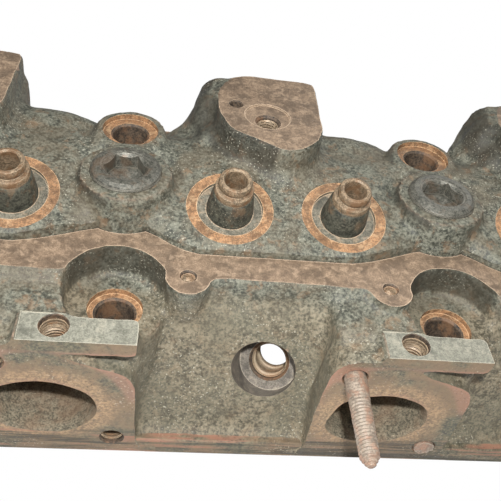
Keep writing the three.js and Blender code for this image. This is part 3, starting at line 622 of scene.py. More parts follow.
def rail_tool(materials):
    """The cover rail's cutter: a band that swings round each front bolt."""
    far = HALF_LENGTH + PAST
    edge = [(-far, RAIL_OUTER_Y - 12), (far, RAIL_OUTER_Y - 12), (far, RAIL_INNER_Y)]
    for x in reversed(BOLT_X):
        for across, deep in reversed(RAIL_BEND):
            if abs(x + across) < far:
                edge.append((x + across, deep))
    edge.append((-far, RAIL_INNER_Y))
    band = Tools(materials)
    band.add(add_prism, [Vector(p) for p in edge], Vector((0, 0, RAIL_Z)), X_AXIS, Y_AXIS, 13,
             SKIN, RAIL)
    keep = Tools(materials)
    for x in PLUG_X:
        keep.add(add_rod, Vector((x, PLUG_Y, 60)), Z_AXIS, PLUG_BOSS_RADIUS + 1.2, 40)
    return cut(band.objects[0], keep.objects)


# Corners of an exhaust port's mouth: from the cylinder's axis along X, and up from the deck.
PORT_MOUTH = ((20, 21), (20.5, 31), (24, 38.5), (35, 42.5), (45, 41), (53.5, 35), (55, 24),
              (45, 13.5), (29, 14))


def add_bore(bm, mouth, outward, radius, depth, chamfer=0.6, mark=BORE, sides=48):
    """A hole with a broken edge, running inwards from its mouth."""
    add_turned(bm, [(0, -depth), (radius, -depth), (radius, -chamfer), (radius + chamfer, 0),
                    (radius + chamfer, PAST), (0, PAST)], mouth, outward, sides, mark)


def add_exhaust_port(bm, centre, rings=30, sides=72):
    """Port from its worn, uneven mouth in the flange to the round throat over the valve."""
    corners = [Vector((x, z)) for x, z in PORT_MOUTH]
    closed = corners[-1:] + corners + corners[:2]
    spans = len(corners)
    middle = sum(corners, Vector((0, 0))) / spans
    mouth = []
    for k in range(sides):
        t = (1 + spans * k / sides) / (spans + 2)
        mouth.append(catmull(closed, t) - middle)
    valve = centre + VALVE_SPACING / 2
    face = Vector((centre + middle.x, face_y(middle.y), middle.y))
    path = [face, face - FACE_NORMAL * 20, Vector((valve + 5, -28, PORT_Z + 8)),
            along_valve(valve, 16 - ROOF_DEPTH)]
    up = Vector((0, -math.sin(FACE_TILT), math.cos(FACE_TILT)))
    loops = []
    for reach, grow in ((PAST, 1.2), (0.6, 0.8), (-0.4, 0.4)):
        loops.append([face + FACE_NORMAL * reach + X_AXIS * p.x * (1 + grow / p.length)
                      + up * p.y * (1 + grow / p.length) for p in mouth])
    for i in range(rings + 1):
        t = 0.04 + 0.96 * i / rings
        place, across, rise = path_frame(path, t)
        loop = []
        for p in mouth:
            circle = p.normalized() * THROATS[1]
            q = p.lerp(circle, t * t * (3 - 2 * t))
            loop.append(place + across * q.x + rise * q.y)
        loops.append(loop)
    add_loft(bm, loops, PORT)


def add_chamber(bm, centre):
    roof = outline([(-45, -4), (-36, -22), (-10, -37), (16, -38), (38, -22), (44, -4), (38, 17),
                    (22, 23), (-22, 24), (-40, 17)], 9)
    origin = along_valve(centre, -ROOF_DEPTH - 60)
    across = Vector((0, math.cos(VALVE_TILT), math.sin(VALVE_TILT)))
    add_prism(bm, roof, origin, X_AXIS, across, 60, PORT)


def hole_tools(tools):
    """Everything bored, counterbored and cored, except what belongs to the valves."""
    for x in BOLT_X:
        for y, top in ((FRONT_BOLT_Y, FRONT_BOSS_Z), (REAR_BOLT_Y, FLOOR_Z)):
            spot = Vector((x, y, top - 0.8))
            radius, reach = (BOLT_SPOT_RADIUS, 60) if y > 0 else (BOLT_SPOT_RADIUS - 1.2, 3)
            tools.add(add_rod, spot, Z_AXIS, radius, reach, side=RING)
            tools.add(add_bore, spot, Z_AXIS, BOLT_RADIUS, top + PAST, 0.8)
    for x in COVER_SCREW_X:
        for y, z in ((COVER_SCREW_Y, RAIL_Z), (REAR_SCREW_Y, REAR_RAIL_Z)):
            tools.add(add_bore, Vector((x, y, z)), Z_AXIS, 2.5, 12, 0.5)
    for x in PLUG_X:
        for z, radius, depth in ((PLUG_TOP_Z - 8, PLUG_RADIUS + 0.15, 30),
                                 (JACKET_ROOF_Z - 1, PLUG_RADIUS - 1.7, 33)):
            tools.add(add_rod, Vector((x, PLUG_Y, z)), Z_AXIS, radius, depth, side=BORE)
        tools.add(add_box, (x - JACKET_HALF_WIDTH, FRONT_BOLT_Y + JACKET_WALL, JACKET_FLOOR_Z),
                  (x + JACKET_HALF_WIDTH, REAR_BOLT_Y - JACKET_WALL, JACKET_ROOF_Z), BORE)
        for y in (FRONT_BOLT_Y + JACKET_PASSAGE, REAR_BOLT_Y - JACKET_PASSAGE):
            tools.add(add_bore, Vector((x, y, 0)), -Z_AXIS, 5, 26, 0.5)
    for centre in CYLINDER_X:
        top = Vector((centre, 0, STAND_TOP_Z))
        tools.add(add_rod, top + Vector((*STAND_SPOT, -STAND_SPOT_DEPTH)), Z_AXIS, 9, 20, side=RAIL)
        tools.add(add_bore, top + Vector((*STAND_BOLT, -STAND_SPOT_DEPTH)), Z_AXIS, 4.25, 24, 0.9)
        tools.add(add_bore, top + Vector((*OIL_HOLE, 0)), Z_AXIS, 2.5, 20, 0.4)
        tools.add(add_bore, Vector((centre + BOSS_OFFSET, FACE_TOP_Y + LEDGE_BORE_INSET, LEDGE_Z)),
                  Z_AXIS, 4.7, 22, 0.3)
        for stud, depth in ((UPPER_STUD, 22), (LOWER_STUD, 9)):
            tools.add(add_bore, stud_root(centre, stud), FACE_NORMAL, STUD_RADIUS + 0.1, depth, 0.5)
        seat = SPARK_SEAT + X_AXIS * centre
        tools.add(add_rod, seat, -SPARK_AXIS, 11.5, 60, side=MILLED)
        tools.add(add_bore, seat, -SPARK_AXIS, 7, 31, 0.9)
        tools.add(add_ball, seat + SPARK_AXIS * 30, (13, 13, 13), PORT)
        tools.add(add_chamber, centre)
        tools.add(add_exhaust_port, centre)
        for x, y in PUSHRODS:
            tools.add(add_rod, Vector((centre + x, y, -PAST)), Z_AXIS, 6, CLEAR_Z, side=BORE)
        for x, z in INTAKE_BOLTS:
            tools.add(add_bore, Vector((centre + x, INTAKE_FACE_Y, z)), Y_AXIS, 4.25, 12, 0.5)
        valve = centre - VALVE_SPACING / 2
        throat = 2 * THROATS[-1] - 4
        path = [Vector((centre - 24, INTAKE_FACE_Y + PAST, 27)),
                Vector((centre - 24, INTAKE_FACE_Y - 16, 29)),
                Vector((valve, 16, 36)), along_valve(valve, 16 - ROOF_DEPTH)]
        tools.add(add_duct, path, (27, 36), (throat, throat), 6)
    for sign in (-1, 1):
        face = sign * HALF_LENGTH
        outward = X_AXIS * sign
        places = [(*CUP_PLACE, 16.1, CUP_DEPTH, 5)]
        if sign > 0:
            places.append((*PIPE_PLUG_PLACE, 9.1, PIPE_PLUG_DEPTH, 4))
        for y, z, radius, depth, water in places:
            tools.add(add_bore, Vector((face, y, z)), outward, radius, depth, 0.5)
            tools.add(add_rod, Vector((face - sign * 26, y, z)), outward, radius - 3, 22, side=BORE)
            tools.add(add_bore, Vector((face - sign * (26 - water), y, 0)), -Z_AXIS, water, z, 0.4)
        for y, z in END_BOLTS:
            tools.add(add_bore, Vector((face, y, z)), outward, 4.25, 18, 0.5)


def add_guide_boss(bm, x):
    foot, top, height = GUIDE_BOSS_RADIUS + 0.4, GUIDE_BOSS_RADIUS - 1.0, GUIDE_BOSS_HEIGHT
    add_turned(bm, [(0, -9), (foot, -9), (foot, 0), (top + 0.3, height - 1.6), (top, height - 0.6),
                    (top - 0.5, height), (0, height)], along_valve(x, 0), VALVE_AXIS, 48, BOSS)


def add_lip(bm):
    """Edge of the deck flange, left crisp along the exhaust side."""
    profile = [(LIP_Y, -2), (LIP_Y, LIP_HEIGHT - 0.6), (LIP_Y + 0.6, LIP_HEIGHT),
               (LIP_Y + 14, LIP_HEIGHT), (LIP_Y + 14, -2)]
    add_prism(bm, outline(profile), Vector((-HALF_LENGTH - 1, 0, 0)), Y_AXIS, Z_AXIS,
              2 * HALF_LENGTH + 2, FLANGE)


def machine(casting, materials):
    """Milling, boring and coring, in the order that a shop would do them."""
    lip = Tools(materials)
    lip.add(add_lip)
    cut(casting, lip.objects, "UNION")
    faces = Tools(materials)
    face_tools(faces)
    cut(casting, faces.objects)
    cut(casting, [rail_tool(materials)])
    spots = Tools(materials)
    for x, _ in valve_x():
        spots.add(add_rod, along_valve(x, 0), VALVE_AXIS, SPRING_SEAT_RADIUS, 60, side=SKIN, cap=RING)
        spots.add(add_rod, along_valve(x, -1.4), VALVE_AXIS, SPRING_RECESS_RADIUS, 30, side=SPRING)
    cut(casting, spots.objects)
    bosses = Tools(materials)
    for x, _ in valve_x():
        bosses.add(add_guide_boss, x)
    cut(casting, bosses.objects, "UNION")
    holes = Tools(materials)
    hole_tools(holes)
    for x, side in valve_x():
        throat = THROATS[side]
        holes.add(add_rod, along_valve(x, -ROOF_DEPTH - PAST), VALVE_AXIS, throat + SEAT_WALL + 0.05,
                  PAST + SEAT_HEIGHT + 0.05, side=BORE)
        holes.add(add_rod, along_valve(x, -ROOF_DEPTH), VALVE_AXIS, throat, 24, side=PORT)
        holes.add(add_rod, along_valve(x, -ROOF_DEPTH), VALVE_AXIS, GUIDE_RADIUS + 0.05, 110, side=BORE)
    cut(casting, holes.objects)
    casting.data.shade_smooth()
    casting.data.set_sharp_from_angle(angle=math.radians(32))
    return casting


# ---- finishes ----------------------------------------------------------------------------------

def tone(red, green, blue):
    """A screen colour of three 8-bit values as the linear colour that nodes hold."""
    def linear(value):
        value /= 255
        return value / 12.92 if value <= 0.04045 else ((value + 0.055) / 1.055) ** 2.4
    return linear(red), linear(green), linear(blue), 1.0


class Net:
    """Short calls for building a node tree."""

    def __init__(self, tree):
        self.tree = tree

    def put(self, value, socket):
        if isinstance(value, bpy.types.NodeSocket):
            self.tree.links.new(value, socket)
        else:
            socket.default_value = value

    def node(self, kind, sockets=(), **settings):
        node = self.tree.nodes.new(kind)
        for key, value in settings.items():
            setattr(node, key, value)
        for key, value in dict(sockets).items():
            self.put(value, node.inputs[key])
        return node

    def noise(self, place, scale, detail=2.0, roughness=0.5, distortion=0.0):
        node = self.node("ShaderNodeTexNoise", {
            "Vector": place, "Scale": scale, "Detail": detail, "Roughness": roughness,
            "Distortion": distortion})
        return node.outputs["Fac"]

    def math(self, operation, a, b=0.5):
        return self.node("ShaderNodeMath", {0: a, 1: b}, operation=operation).outputs[0]

    def times(self, a, b):
        return self.math("MULTIPLY", a, b)

    def step(self, value, low, high, start=0.0, end=1.0):
        return self.node("ShaderNodeMapRange", {
            "Value": value, "From Min": low, "From Max": high, "To Min": start, "To Max": end},
            interpolation_type="SMOOTHSTEP").outputs["Result"]

    def mix(self, factor, a, b):
        node = self.node("ShaderNodeMix", data_type="RGBA")
        for value, socket in ((factor, node.inputs[0]), (a, node.inputs[6]), (b, node.inputs[7])):
            self.put(value, socket)
        return node.outputs[2]

    def use(self, group, sockets=()):
        return self.node("ShaderNodeGroup", sockets, node_tree=group).outputs


def shader_group(name, inputs, outputs):
    tree = bpy.data.node_groups.new(name, "ShaderNodeTree")
    for label, kind, value in inputs:
        socket = tree.interface.new_socket(label, in_out="INPUT", socket_type=kind)
        if value is not None:
            socket.default_value = value
    for label, kind in outputs:
        tree.interface.new_socket(label, in_out="OUTPUT", socket_type=kind)
    net = Net(tree)
    return net, net.node("NodeGroupInput").outputs, net.node("NodeGroupOutput").inputs


def build_groups():
    """The effects that several finishes share."""
    floating, vector = "NodeSocketFloat", "NodeSocketVector"
    net, given, result = shader_group(
        "Cast Grain", [("Place", vector, None), ("Scale", floating, 1.0)],
        [("Mottle", floating), ("Speckle", floating), ("Dark Pits", floating), ("Height", floating)])
    place, scale = given["Place"], given["Scale"]
    coarse = net.noise(place, net.times(scale, 310.0), 6.0, 0.74)
    fine = net.noise(place, net.times(scale, 950.0), 3.0, 0.6)
    spots = net.noise(place, net.times(scale, 1350.0), 1.5, 0.5)
    where = net.step(net.noise(place, 42.0, 3.0), 0.40, 0.62)
    height = net.math("ADD", net.times(coarse, 0.5), net.times(fine, 0.5))
    net.put(net.step(height, 0.39, 0.62), result["Mottle"])
    net.put(net.times(net.step(spots, 0.63, 0.71), where), result["Speckle"])
    net.put(net.step(spots, 0.36, 0.28), result["Dark Pits"])
    net.put(height, result["Height"])

    rust, given, result = shader_group(
        "Rust Patches", [("Place", vector, None), ("Scale", floating, 60.0), ("Cover", floating, 0.5),
                         ("Edge", floating, 0.06)], [("Mask", floating)])
    field = rust.noise(given["Place"], given["Scale"], 7.0, 0.66, 0.3)
    edge = rust.math("SUBTRACT", 0.74, rust.times(given["Cover"], 0.48))
    rust.put(rust.step(field, rust.math("SUBTRACT", edge, given["Edge"]),
                       rust.math("ADD", edge, given["Edge"])), result["Mask"])

    worn, given, result = shader_group(
        "Worn Edge", [("Radius", floating, 0.0008), ("Place", vector, None)], [("Mask", floating)])
    bevel = worn.node("ShaderNodeBevel", {"Radius": given["Radius"]}, samples=4)
    normal = worn.node("ShaderNodeNewGeometry").outputs["Normal"]
    facing = worn.node("ShaderNodeVectorMath", {0: bevel.outputs[0], 1: normal},
                       operation="DOT_PRODUCT").outputs["Value"]
    ragged = worn.times(worn.noise(given["Place"], 420.0, 3.0, 0.6), 0.12)
    worn.put(worn.step(worn.math("SUBTRACT", 1.03, worn.math("ADD", facing, ragged)), 0.0, 0.16),
             result["Mask"])

    band, given, result = shader_group(
        "Repeating Oval", [("Place", vector, None), ("Centre X", floating, 0.0),
                           ("Centre Z", floating, 0.0), ("Half Width", floating, 0.02),
                           ("Half Height", floating, 0.015), ("Pitch", floating, PITCH * MM)],
        [("Distance", floating)])
    split = band.node("ShaderNodeSeparateXYZ", {0: given["Place"]}).outputs
    half = band.times(given["Pitch"], 0.5)
    shifted = band.node("ShaderNodeMath", {
        0: band.math("SUBTRACT", split["X"], given["Centre X"]), 1: half,
        2: band.times(half, -1.0)}, operation="WRAP").outputs[0]
    across = band.math("DIVIDE", shifted, given["Half Width"])
    lifted = band.math("SUBTRACT", split["Z"], given["Centre Z"])
    high = band.math("DIVIDE", lifted, given["Half Height"])
    squares = band.math("ADD", band.times(across, across), band.times(high, high))
    band.put(band.math("SQRT", squares), result["Distance"])
    return {"grain": net.tree, "rust": rust.tree, "worn": worn.tree, "oval": band.tree}


class Finish:
    """A material with its Principled shader, its object coordinates and the shared effects."""

    def __init__(self, name, groups, grain=1.0):
        self.material = bpy.data.materials.new(name)
        self.material.use_nodes = True
        tree = self.material.node_tree
        tree.nodes.clear()
        self.net = Net(tree)
        self.groups = groups
        self.shader = self.net.node("ShaderNodeBsdfPrincipled")
        output = self.net.node("ShaderNodeOutputMaterial")
        tree.links.new(self.shader.outputs[0], output.inputs["Surface"])
        self.place = self.net.node("ShaderNodeTexCoord").outputs["Object"]
        self.grain = self.net.use(groups["grain"], {"Place": self.place, "Scale": grain})
        self.geometry = self.net.node("ShaderNodeNewGeometry").outputs
        self.axes = self.net.node("ShaderNodeSeparateXYZ", {0: self.place}).outputs
        self.facing = self.net.node("ShaderNodeSeparateXYZ", {0: self.geometry["Normal"]}).outputs

    def rust(self, scale, cover, edge=0.06):
        return self.net.use(self.groups["rust"], {
            "Place": self.place, "Scale": scale, "Cover": cover, "Edge": edge})["Mask"]

    def worn(self, radius):
        return self.net.use(self.groups["worn"], {"Radius": radius, "Place": self.place})["Mask"]

    def coat(self, colour, mask, over, amount):
        """Lays a colour over another one where the mask shows, as thickly as the amount says."""
        return self.net.mix(self.net.times(mask, amount), colour, over)

    def finish(self, colour, roughness, bump=0.4, distance=0.0004, metallic=0.0, height=None):
        net = self.net
        net.put(colour, self.shader.inputs["Base Color"])
        net.put(roughness, self.shader.inputs["Roughness"])
        net.put(metallic, self.shader.inputs["Metallic"])
        relief = net.node("ShaderNodeBump", {
            "Strength": bump, "Distance": distance,
            "Height": self.grain["Height"] if height is None else height})
        net.put(relief.outputs[0], self.shader.inputs["Normal"])
        return self.material


def cast_skin(groups):
    """As-cast iron: dark, grainy, rust-stained, rubbed bare on its high edges, with painted shade in its
    creases and on the walls round the front bolts, and an oil stain, partly painted shade, on the
    stands' shoulders.
    """
    f = Finish("cast_skin", groups)
    net = f.net
    mottle = f.grain["Mottle"]
    colour = net.mix(mottle, tone(50, 52, 44), tone(122, 122, 108))
    colour = f.coat(colour, f.rust(60.0, 0.48, 0.10), tone(104, 90, 70), 0.42)
    colour = f.coat(colour, f.rust(190.0, 0.30), tone(134, 104, 76), 0.4)
    front = net.times(net.step(f.axes["Y"], (RAIL_OUTER_Y + DATUM_Y + 8) * MM,
                                          (RAIL_OUTER_Y + DATUM_Y + 2) * MM),
                     net.step(f.axes["Z"], 0.067, 0.058))
    sandy = net.mix(mottle, tone(74, 66, 50), tone(144, 130, 106))
    colour = f.coat(colour, front, sandy, 0.6)
    green = net.times(f.rust(34.0, 0.45, 0.12), front)
    colour = f.coat(colour, green, tone(92, 92, 78), 0.4)
    upright = net.step(net.math("ABSOLUTE", f.facing["Z"]), 0.5, 0.25)
    # Painted shade: the upright walls of the hollows round the front bolts, under the rail, are
    # darkened.
    hollow = net.times(net.step(f.axes["Y"], (RAIL_OUTER_Y + DATUM_Y + 1) * MM,
                                           (RAIL_OUTER_Y + DATUM_Y + 4) * MM),
                      net.step(f.axes["Z"], 0.071, 0.069))
    colour = f.coat(colour, net.times(hollow, upright), tone(52, 48, 38), 0.62)
    # Faces of the stands' shoulders that turn towards -X, above 79 mm, are darkened: partly an oil
    # stain, partly painted shade.
    shoulder = net.times(net.step(f.facing["X"], -0.2, -0.5), net.step(f.axes["Z"], 0.079, 0.083))
    colour = f.coat(colour, shoulder, tone(36, 34, 27), 0.66)
    point = f.geometry["Pointiness"]
    colour = f.coat(colour, net.step(point, 0.525, 0.60), tone(164, 134, 112), 0.55)
    # Painted shade: concave creases of the skin are darkened.
    colour = f.coat(colour, net.step(point, 0.47, 0.40), tone(38, 34, 27), 0.75)
    colour = f.coat(colour, f.grain["Dark Pits"], tone(32, 31, 26), 0.6)
    colour = f.coat(colour, f.grain["Speckle"], tone(190, 186, 168), 0.6)
    roughness = net.step(mottle, 0.0, 1.0, 0.58, 0.78)
    return f.finish(colour, roughness, 0.55, 0.0005)


def cast_boss(groups):
    """Near-black cast skin of the bosses under the valve springs."""
    f = Finish("cast_boss", groups, 1.2)
    net = f.net
    colour = net.mix(f.grain["Mottle"], tone(34, 35, 29), tone(84, 84, 72))
    colour = f.coat(colour, f.rust(150.0, 0.34), tone(112, 88, 64), 0.5)
    colour = f.coat(colour, f.worn(0.0007), tone(150, 122, 92), 0.6)
    colour = f.coat(colour, f.grain["Speckle"], tone(176, 168, 148), 0.6)
    return f.finish(colour, 0.62, 0.5, 0.0004)


def machined_rust(groups, name, dark, light, bare, worn_radius=0.0009, cover=0.5):
    """A once bright machined face under a thin, uneven coat of rust, bare along its edges."""
    f = Finish(name, groups, 2.0)
    net = f.net
    colour = net.mix(f.grain["Mottle"], tone(*dark), tone(*light))
    colour = f.coat(colour, f.rust(130.0, cover, 0.09), tone(*(c * 0.72 for c in dark)), 0.65)
    colour = f.coat(colour, f.rust(300.0, 0.34), tone(*bare), 0.4)
    colour = f.coat(colour, f.grain["Dark Pits"], tone(60, 45, 34), 0.5)
    colour = f.coat(colour, f.grain["Speckle"], tone(204, 188, 166), 0.3)
    colour = f.coat(colour, f.worn(worn_radius), tone(*(c + 24 for c in bare)), 0.95)
    roughness = net.step(f.grain["Mottle"], 0.0, 1.0, 0.45, 0.68)
    return f.finish(colour, roughness, 0.35, 0.0003)


def flange_face(groups):
    """Exhaust flange: sooty green-grey, tan round the port, pink rust along its upper edge."""
    f = Finish("flange_face", groups)
    net = f.net
    colour = net.mix(f.grain["Mottle"], tone(60, 60, 48), tone(118, 112, 92))
    colour = f.coat(colour, f.rust(48.0, 0.55, 0.1), tone(128, 104, 80), 0.7)
    oval = net.use(f.groups["oval"], {
        "Place": f.place, "Centre X": (CYLINDER_X[1] + BOSS_OFFSET + PORT_OFFSET) * MM,
        "Centre Z": 0.0285, "Half Width": 0.0178, "Half Height": 0.0148})["Distance"]
    ring = net.times(net.step(oval, 1.62, 1.2), net.step(oval, 0.9, 1.02))
    tan = net.mix(f.grain["Mottle"], tone(112, 92, 70), tone(176, 146, 112))
    colour = f.coat(colour, ring, tan, 0.72)
    scored = net.noise(net.node("ShaderNodeVectorMath", {0: f.place, 1: (14.0, 60.0, 300.0)},
                                operation="MULTIPLY").outputs[0], 1.0, 4.0, 0.7)
    low = net.step(f.axes["Z"], 0.016, 0.011)
    soot = net.times(low, net.step(scored, 0.44, 0.60))
    colour = f.coat(colour, soot, tone(42, 42, 34), 0.8)
    colour = f.coat(colour, net.times(low, net.step(scored, 0.46, 0.38)), tone(150, 104, 84), 0.7)
    upper = net.times(net.step(f.axes["Z"], 0.024, 0.05), net.step(f.axes["Z"], 0.062, 0.060))
    colour = f.coat(colour, net.times(f.worn(0.0036), upper), tone(164, 116, 97), 0.6)
    rim = net.use(f.groups["oval"], {
        "Place": f.place, "Centre X": (CYLINDER_X[1] + BOSS_OFFSET - 5) * MM, "Centre Z": 0.020,
        "Half Width": 0.0335, "Half Height": 0.042})["Distance"]
    band = net.times(net.step(rim, 0.90, 0.97), net.step(f.axes["Z"], 0.030, 0.038))
    band = net.times(band, net.step(f.axes["Z"], 0.0605, 0.0585))
    colour = f.coat(colour, band, tone(158, 116, 98), 0.45)
    colour = f.coat(colour, f.grain["Dark Pits"], tone(40, 37, 30), 0.5)
    colour = f.coat(colour, f.grain["Speckle"], tone(196, 186, 164), 0.4)
    return f.finish(colour, net.step(f.grain["Mottle"], 0.0, 1.0, 0.55, 0.75), 0.5, 0.0005)


def bore_wall(groups):
    f = Finish("bored_wall", groups, 1.4)
    net = f.net
    colour = net.mix(f.grain["Mottle"], tone(44, 38, 32), tone(100, 84, 68))
    colour = f.coat(colour, f.rust(120.0, 0.42), tone(132, 96, 66), 0.5)
    return f.finish(colour, 0.7, 0.4, 0.0003)


def port_wall(groups):
    """Sooty, sand-rough passage wall."""
    f = Finish("port_wall", groups, 1.5)
    net = f.net
    colour = net.mix(f.grain["Mottle"], tone(70, 66, 54), tone(138, 128, 108))
    colour = f.coat(colour, f.rust(60.0, 0.5, 0.1), tone(124, 98, 76), 0.5)
    colour = f.coat(colour, f.grain["Speckle"], tone(186, 170, 140), 0.6)
    return f.finish(colour, 0.82, 0.6, 0.0005)


def satin_plug(groups):
    """Blackened steel with bare bevels and a little brown dust."""
    f = Finish("blackened_plug", groups, 1.6)
    net = f.net
    colour = net.mix(f.grain["Mottle"], tone(64, 64, 58), tone(116, 114, 104))
    colour = f.coat(colour, f.rust(110.0, 0.36), tone(104, 82, 62), 0.5)
    colour = f.coat(colour, f.worn(0.0007), tone(168, 162, 148), 0.75)
    colour = f.coat(colour, f.grain["Speckle"], tone(150, 142, 126), 0.4)
    return f.finish(colour, net.step(f.grain["Mottle"], 0.0, 1.0, 0.36, 0.52), 0.25, 0.0002,
                    net.step(f.worn(0.0007), 0.0, 1.0, 0.35, 0.75))


def plain_steel(groups, name, dark, light, bare, rusty, metallic, roughness):
    f = Finish(name, groups, 1.8)
    net = f.net
    colour = net.mix(f.grain["Mottle"], tone(*dark), tone(*light))
    colour = f.coat(colour, f.rust(150.0, 0.42), tone(*rusty), 0.7)
    colour = f.coat(colour, f.worn(0.0006), tone(*bare), 0.75)
    colour = f.coat(colour, f.grain["Dark Pits"], tone(*(c * 0.55 for c in dark)), 0.6)
    return f.finish(colour, net.step(f.grain["Mottle"], 0.0, 1.0, roughness, roughness + 0.2), 0.35,
                    0.0003, metallic)


def build_finishes():
    groups = build_groups()
    rust = machined_rust
    return {
        "skin": cast_skin(groups),
        "boss": cast_boss(groups),
        "rail": rust(groups, "rusted_rail", (110, 92, 75), (152, 130, 107), (182, 158, 132)),
        "ring": rust(groups, "rusted_spot_face", (116, 88, 64), (184, 140, 100), (208, 174, 134),
                     0.0005),
        "spring": rust(groups, "spring_seat", (78, 76, 66), (134, 128, 112), (176, 152, 124),
                       0.0009, 0.3),
        "bore": bore_wall(groups),
        "port": port_wall(groups),
        "flange": flange_face(groups),
        "ledge": rust(groups, "milled_ledge", (104, 104, 92), (146, 144, 130), (172, 166, 148),
                      0.0006, 0.3),
        "milled": rust(groups, "milled_face", (92, 86, 78), (140, 132, 120), (172, 160, 142),
                       0.0006, 0.4),
        "guide": plain_steel(groups, "rusty_guide", (88, 76, 60), (156, 134, 108), (202, 184, 156),
                             (116, 84, 56), 0.25, 0.42),
        "seat": plain_steel(groups, "valve_seat", (92, 86, 80), (140, 134, 126), (184, 176, 166),
                            (120, 90, 66), 0.8, 0.32),
        "plug": satin_plug(groups),
        "stud": plain_steel(groups, "pale_stud", (116, 104, 92), (160, 146, 130), (190, 180, 164),
                            (150, 112, 90), 0.15, 0.48),
        "cup": plain_steel(groups, "cup_plug", (112, 96, 70), (160, 142, 110), (190, 172, 140),
                           (128, 88, 54), 0.6, 0.4),
        "thread": plain_steel(groups, "tapped_thread", (100, 84, 66), (160, 138, 112), (204, 186, 158),
                              (140, 98, 64), 0.3, 0.45),
    }


CASTING_SLOTS = ("skin", "rail", "ring", "spring", "bore", "port", "flange", "ledge", "milled", "boss")


STORE = {}


def finishes():
    """The finishes by name, made once and shared by every piece."""
    if not STORE:
        STORE.update(build_finishes())
    return STORE


# ---- the other pieces --------------------------------------------------------------------------

def geometry_tree(name, inputs):
    tree = bpy.data.node_groups.new(name, "GeometryNodeTree")
    tree.interface.new_socket("Geometry", in_out="INPUT", socket_type="NodeSocketGeometry")
    for label, kind in inputs:
        tree.interface.new_socket(label, in_out="INPUT", socket_type=kind)
    tree.interface.new_socket("Geometry", in_out="OUTPUT", socket_type="NodeSocketGeometry")
    net = Net(tree)
    return net, net.node("NodeGroupInput").outputs, net.node("NodeGroupOutput").inputs


def finish_tree(net, placed, given, result):
    """Makes the placed copies real and gives them their finish."""
    real = net.node("GeometryNodeRealizeInstances", {"Geometry": placed.outputs[0]})
    done = net.node("GeometryNodeSetMaterial", {
        "Geometry": real.outputs[0], "Material": given["Finish"]})
    net.put(done.outputs[0], result[0])
    return net.tree


def repeat_tree():
    """Places a copy of one turned part on every point."""
    net, given, result = geometry_tree("Repeat On Points", [
        ("Part", "NodeSocketObject"), ("Finish", "NodeSocketMaterial")])
    part = net.node("GeometryNodeObjectInfo", {"Object": given["Part"]})
    placed = net.node("GeometryNodeInstanceOnPoints", {
        "Points": given["Geometry"], "Instance": part.outputs["Geometry"]})
    return finish_tree(net, placed, given, result)


def thread_tree():
    """Winds the crest of a thread inwards from every point, along one axis."""
    net, given, result = geometry_tree("Tapped Thread", [
        ("Radius", "NodeSocketFloat"), ("Turns", "NodeSocketFloat"), ("Depth", "NodeSocketFloat"),
        ("Crest", "NodeSocketFloat"), ("Axis", "NodeSocketVector"), ("Finish", "NodeSocketMaterial")])
    spiral = net.node("GeometryNodeCurveSpiral", {
        "Resolution": 28, "Rotations": given["Turns"], "Start Radius": given["Radius"],
        "End Radius": given["Radius"], "Height": given["Depth"]})
    crest = net.node("GeometryNodeCurvePrimitiveCircle", {"Resolution": 4, "Radius": given["Crest"]})
    wound = net.node("GeometryNodeCurveToMesh", {
        "Curve": spiral.outputs[0], "Profile Curve": crest.outputs[0], "Fill Caps": True})
    turned = net.node("FunctionNodeAlignRotationToVector", {"Vector": given["Axis"]}, axis="Z")
    placed = net.node("GeometryNodeInstanceOnPoints", {
        "Points": given["Geometry"], "Instance": wound.outputs[0], "Rotation": turned.outputs[0]})
    return finish_tree(net, placed, given, result)


def grow(name, tree, points, values, material):
    """Runs a geometry tree on points given in the row frame, and keeps the result as a mesh."""
    mesh = bpy.data.meshes.new(name)
    mesh.from_pydata([tuple(p) for p in points], [], [])
    obj = linked(name, mesh)
    modifier = obj.modifiers.new("grow", "NODES")
    modifier.node_group = tree
    sockets = {item.name: item.identifier for item in tree.interface.items_tree
               if item.item_type == "SOCKET" and item.in_out == "INPUT"}
    for label, value in {**values, "Finish": material}.items():
        modifier[sockets[label]] = value
    settle(obj)
    bm = bmesh.new()
    bm.from_mesh(obj.data)
    bmesh.ops.recalc_face_normals(bm, faces=bm.faces)
    bm.to_mesh(obj.data)
    bm.free()
    if not obj.data.polygons:
        raise RuntimeError(f"{name} came out empty")
    obj.data.materials.clear()
    obj.data.materials.append(material)
    return obj


def smooth(obj, angle=32.0):
    obj.data.shade_smooth()
    obj.data.set_sharp_from_angle(angle=math.radians(angle))
    return obj


def row_point(x, y, z):
    return Vector((x, y + DATUM_Y, z)) * MM


def turned_part(name, profile, sides=64):
    """A closed turned part on its own origin, standing along the valve axis, to be repeated."""
    bm = bmesh.new()
    add_turned(bm, profile, Vector((0, -DATUM_Y, 0)), VALVE_AXIS, sides)
    return to_object(name, bm, (), 1e-4)


def repeat(name, part, points, material):
    made = grow(name, repeat_tree(), points, {"Part": part}, material)
    discard(part)
    return smooth(made)


def claim(piece, slot, *nodes):
    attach(piece, "root")
    if nodes:
        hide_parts(*nodes)
    return piece


# ---- sizes and colours that a user may change --------------------------------------------------

class CastingSettings(bpy.types.PropertyGroup):
    rough_depth: FloatProperty(
        name="Skin roughness", description="How far the sand-cast skin wanders in and out",
        default=0.00028, min=0.0, max=0.001, unit="LENGTH", precision=5)
    rough_scale: FloatProperty(
        name="Skin lump scale", description="Lumps per metre in the cast skin", default=150.0, min=20.0)
    fillet_passes: IntProperty(
        name="Fillet passes", description="Smoothing passes that round the inside corners",
        default=5, min=0, max=20)


class ThreadSettings(bpy.types.PropertyGroup):
    stud_pitch: FloatProperty(
        name="Stud pitch", description="Distance between the crests of the stud's thread",
        default=0.00125, min=0.0005, unit="LENGTH", precision=5)
    stud_depth: FloatProperty(
        name="Stud thread depth", description="Depth of the stud's thread where it is sound",
        default=0.00055, min=0.0, max=0.001, unit="LENGTH", precision=5)


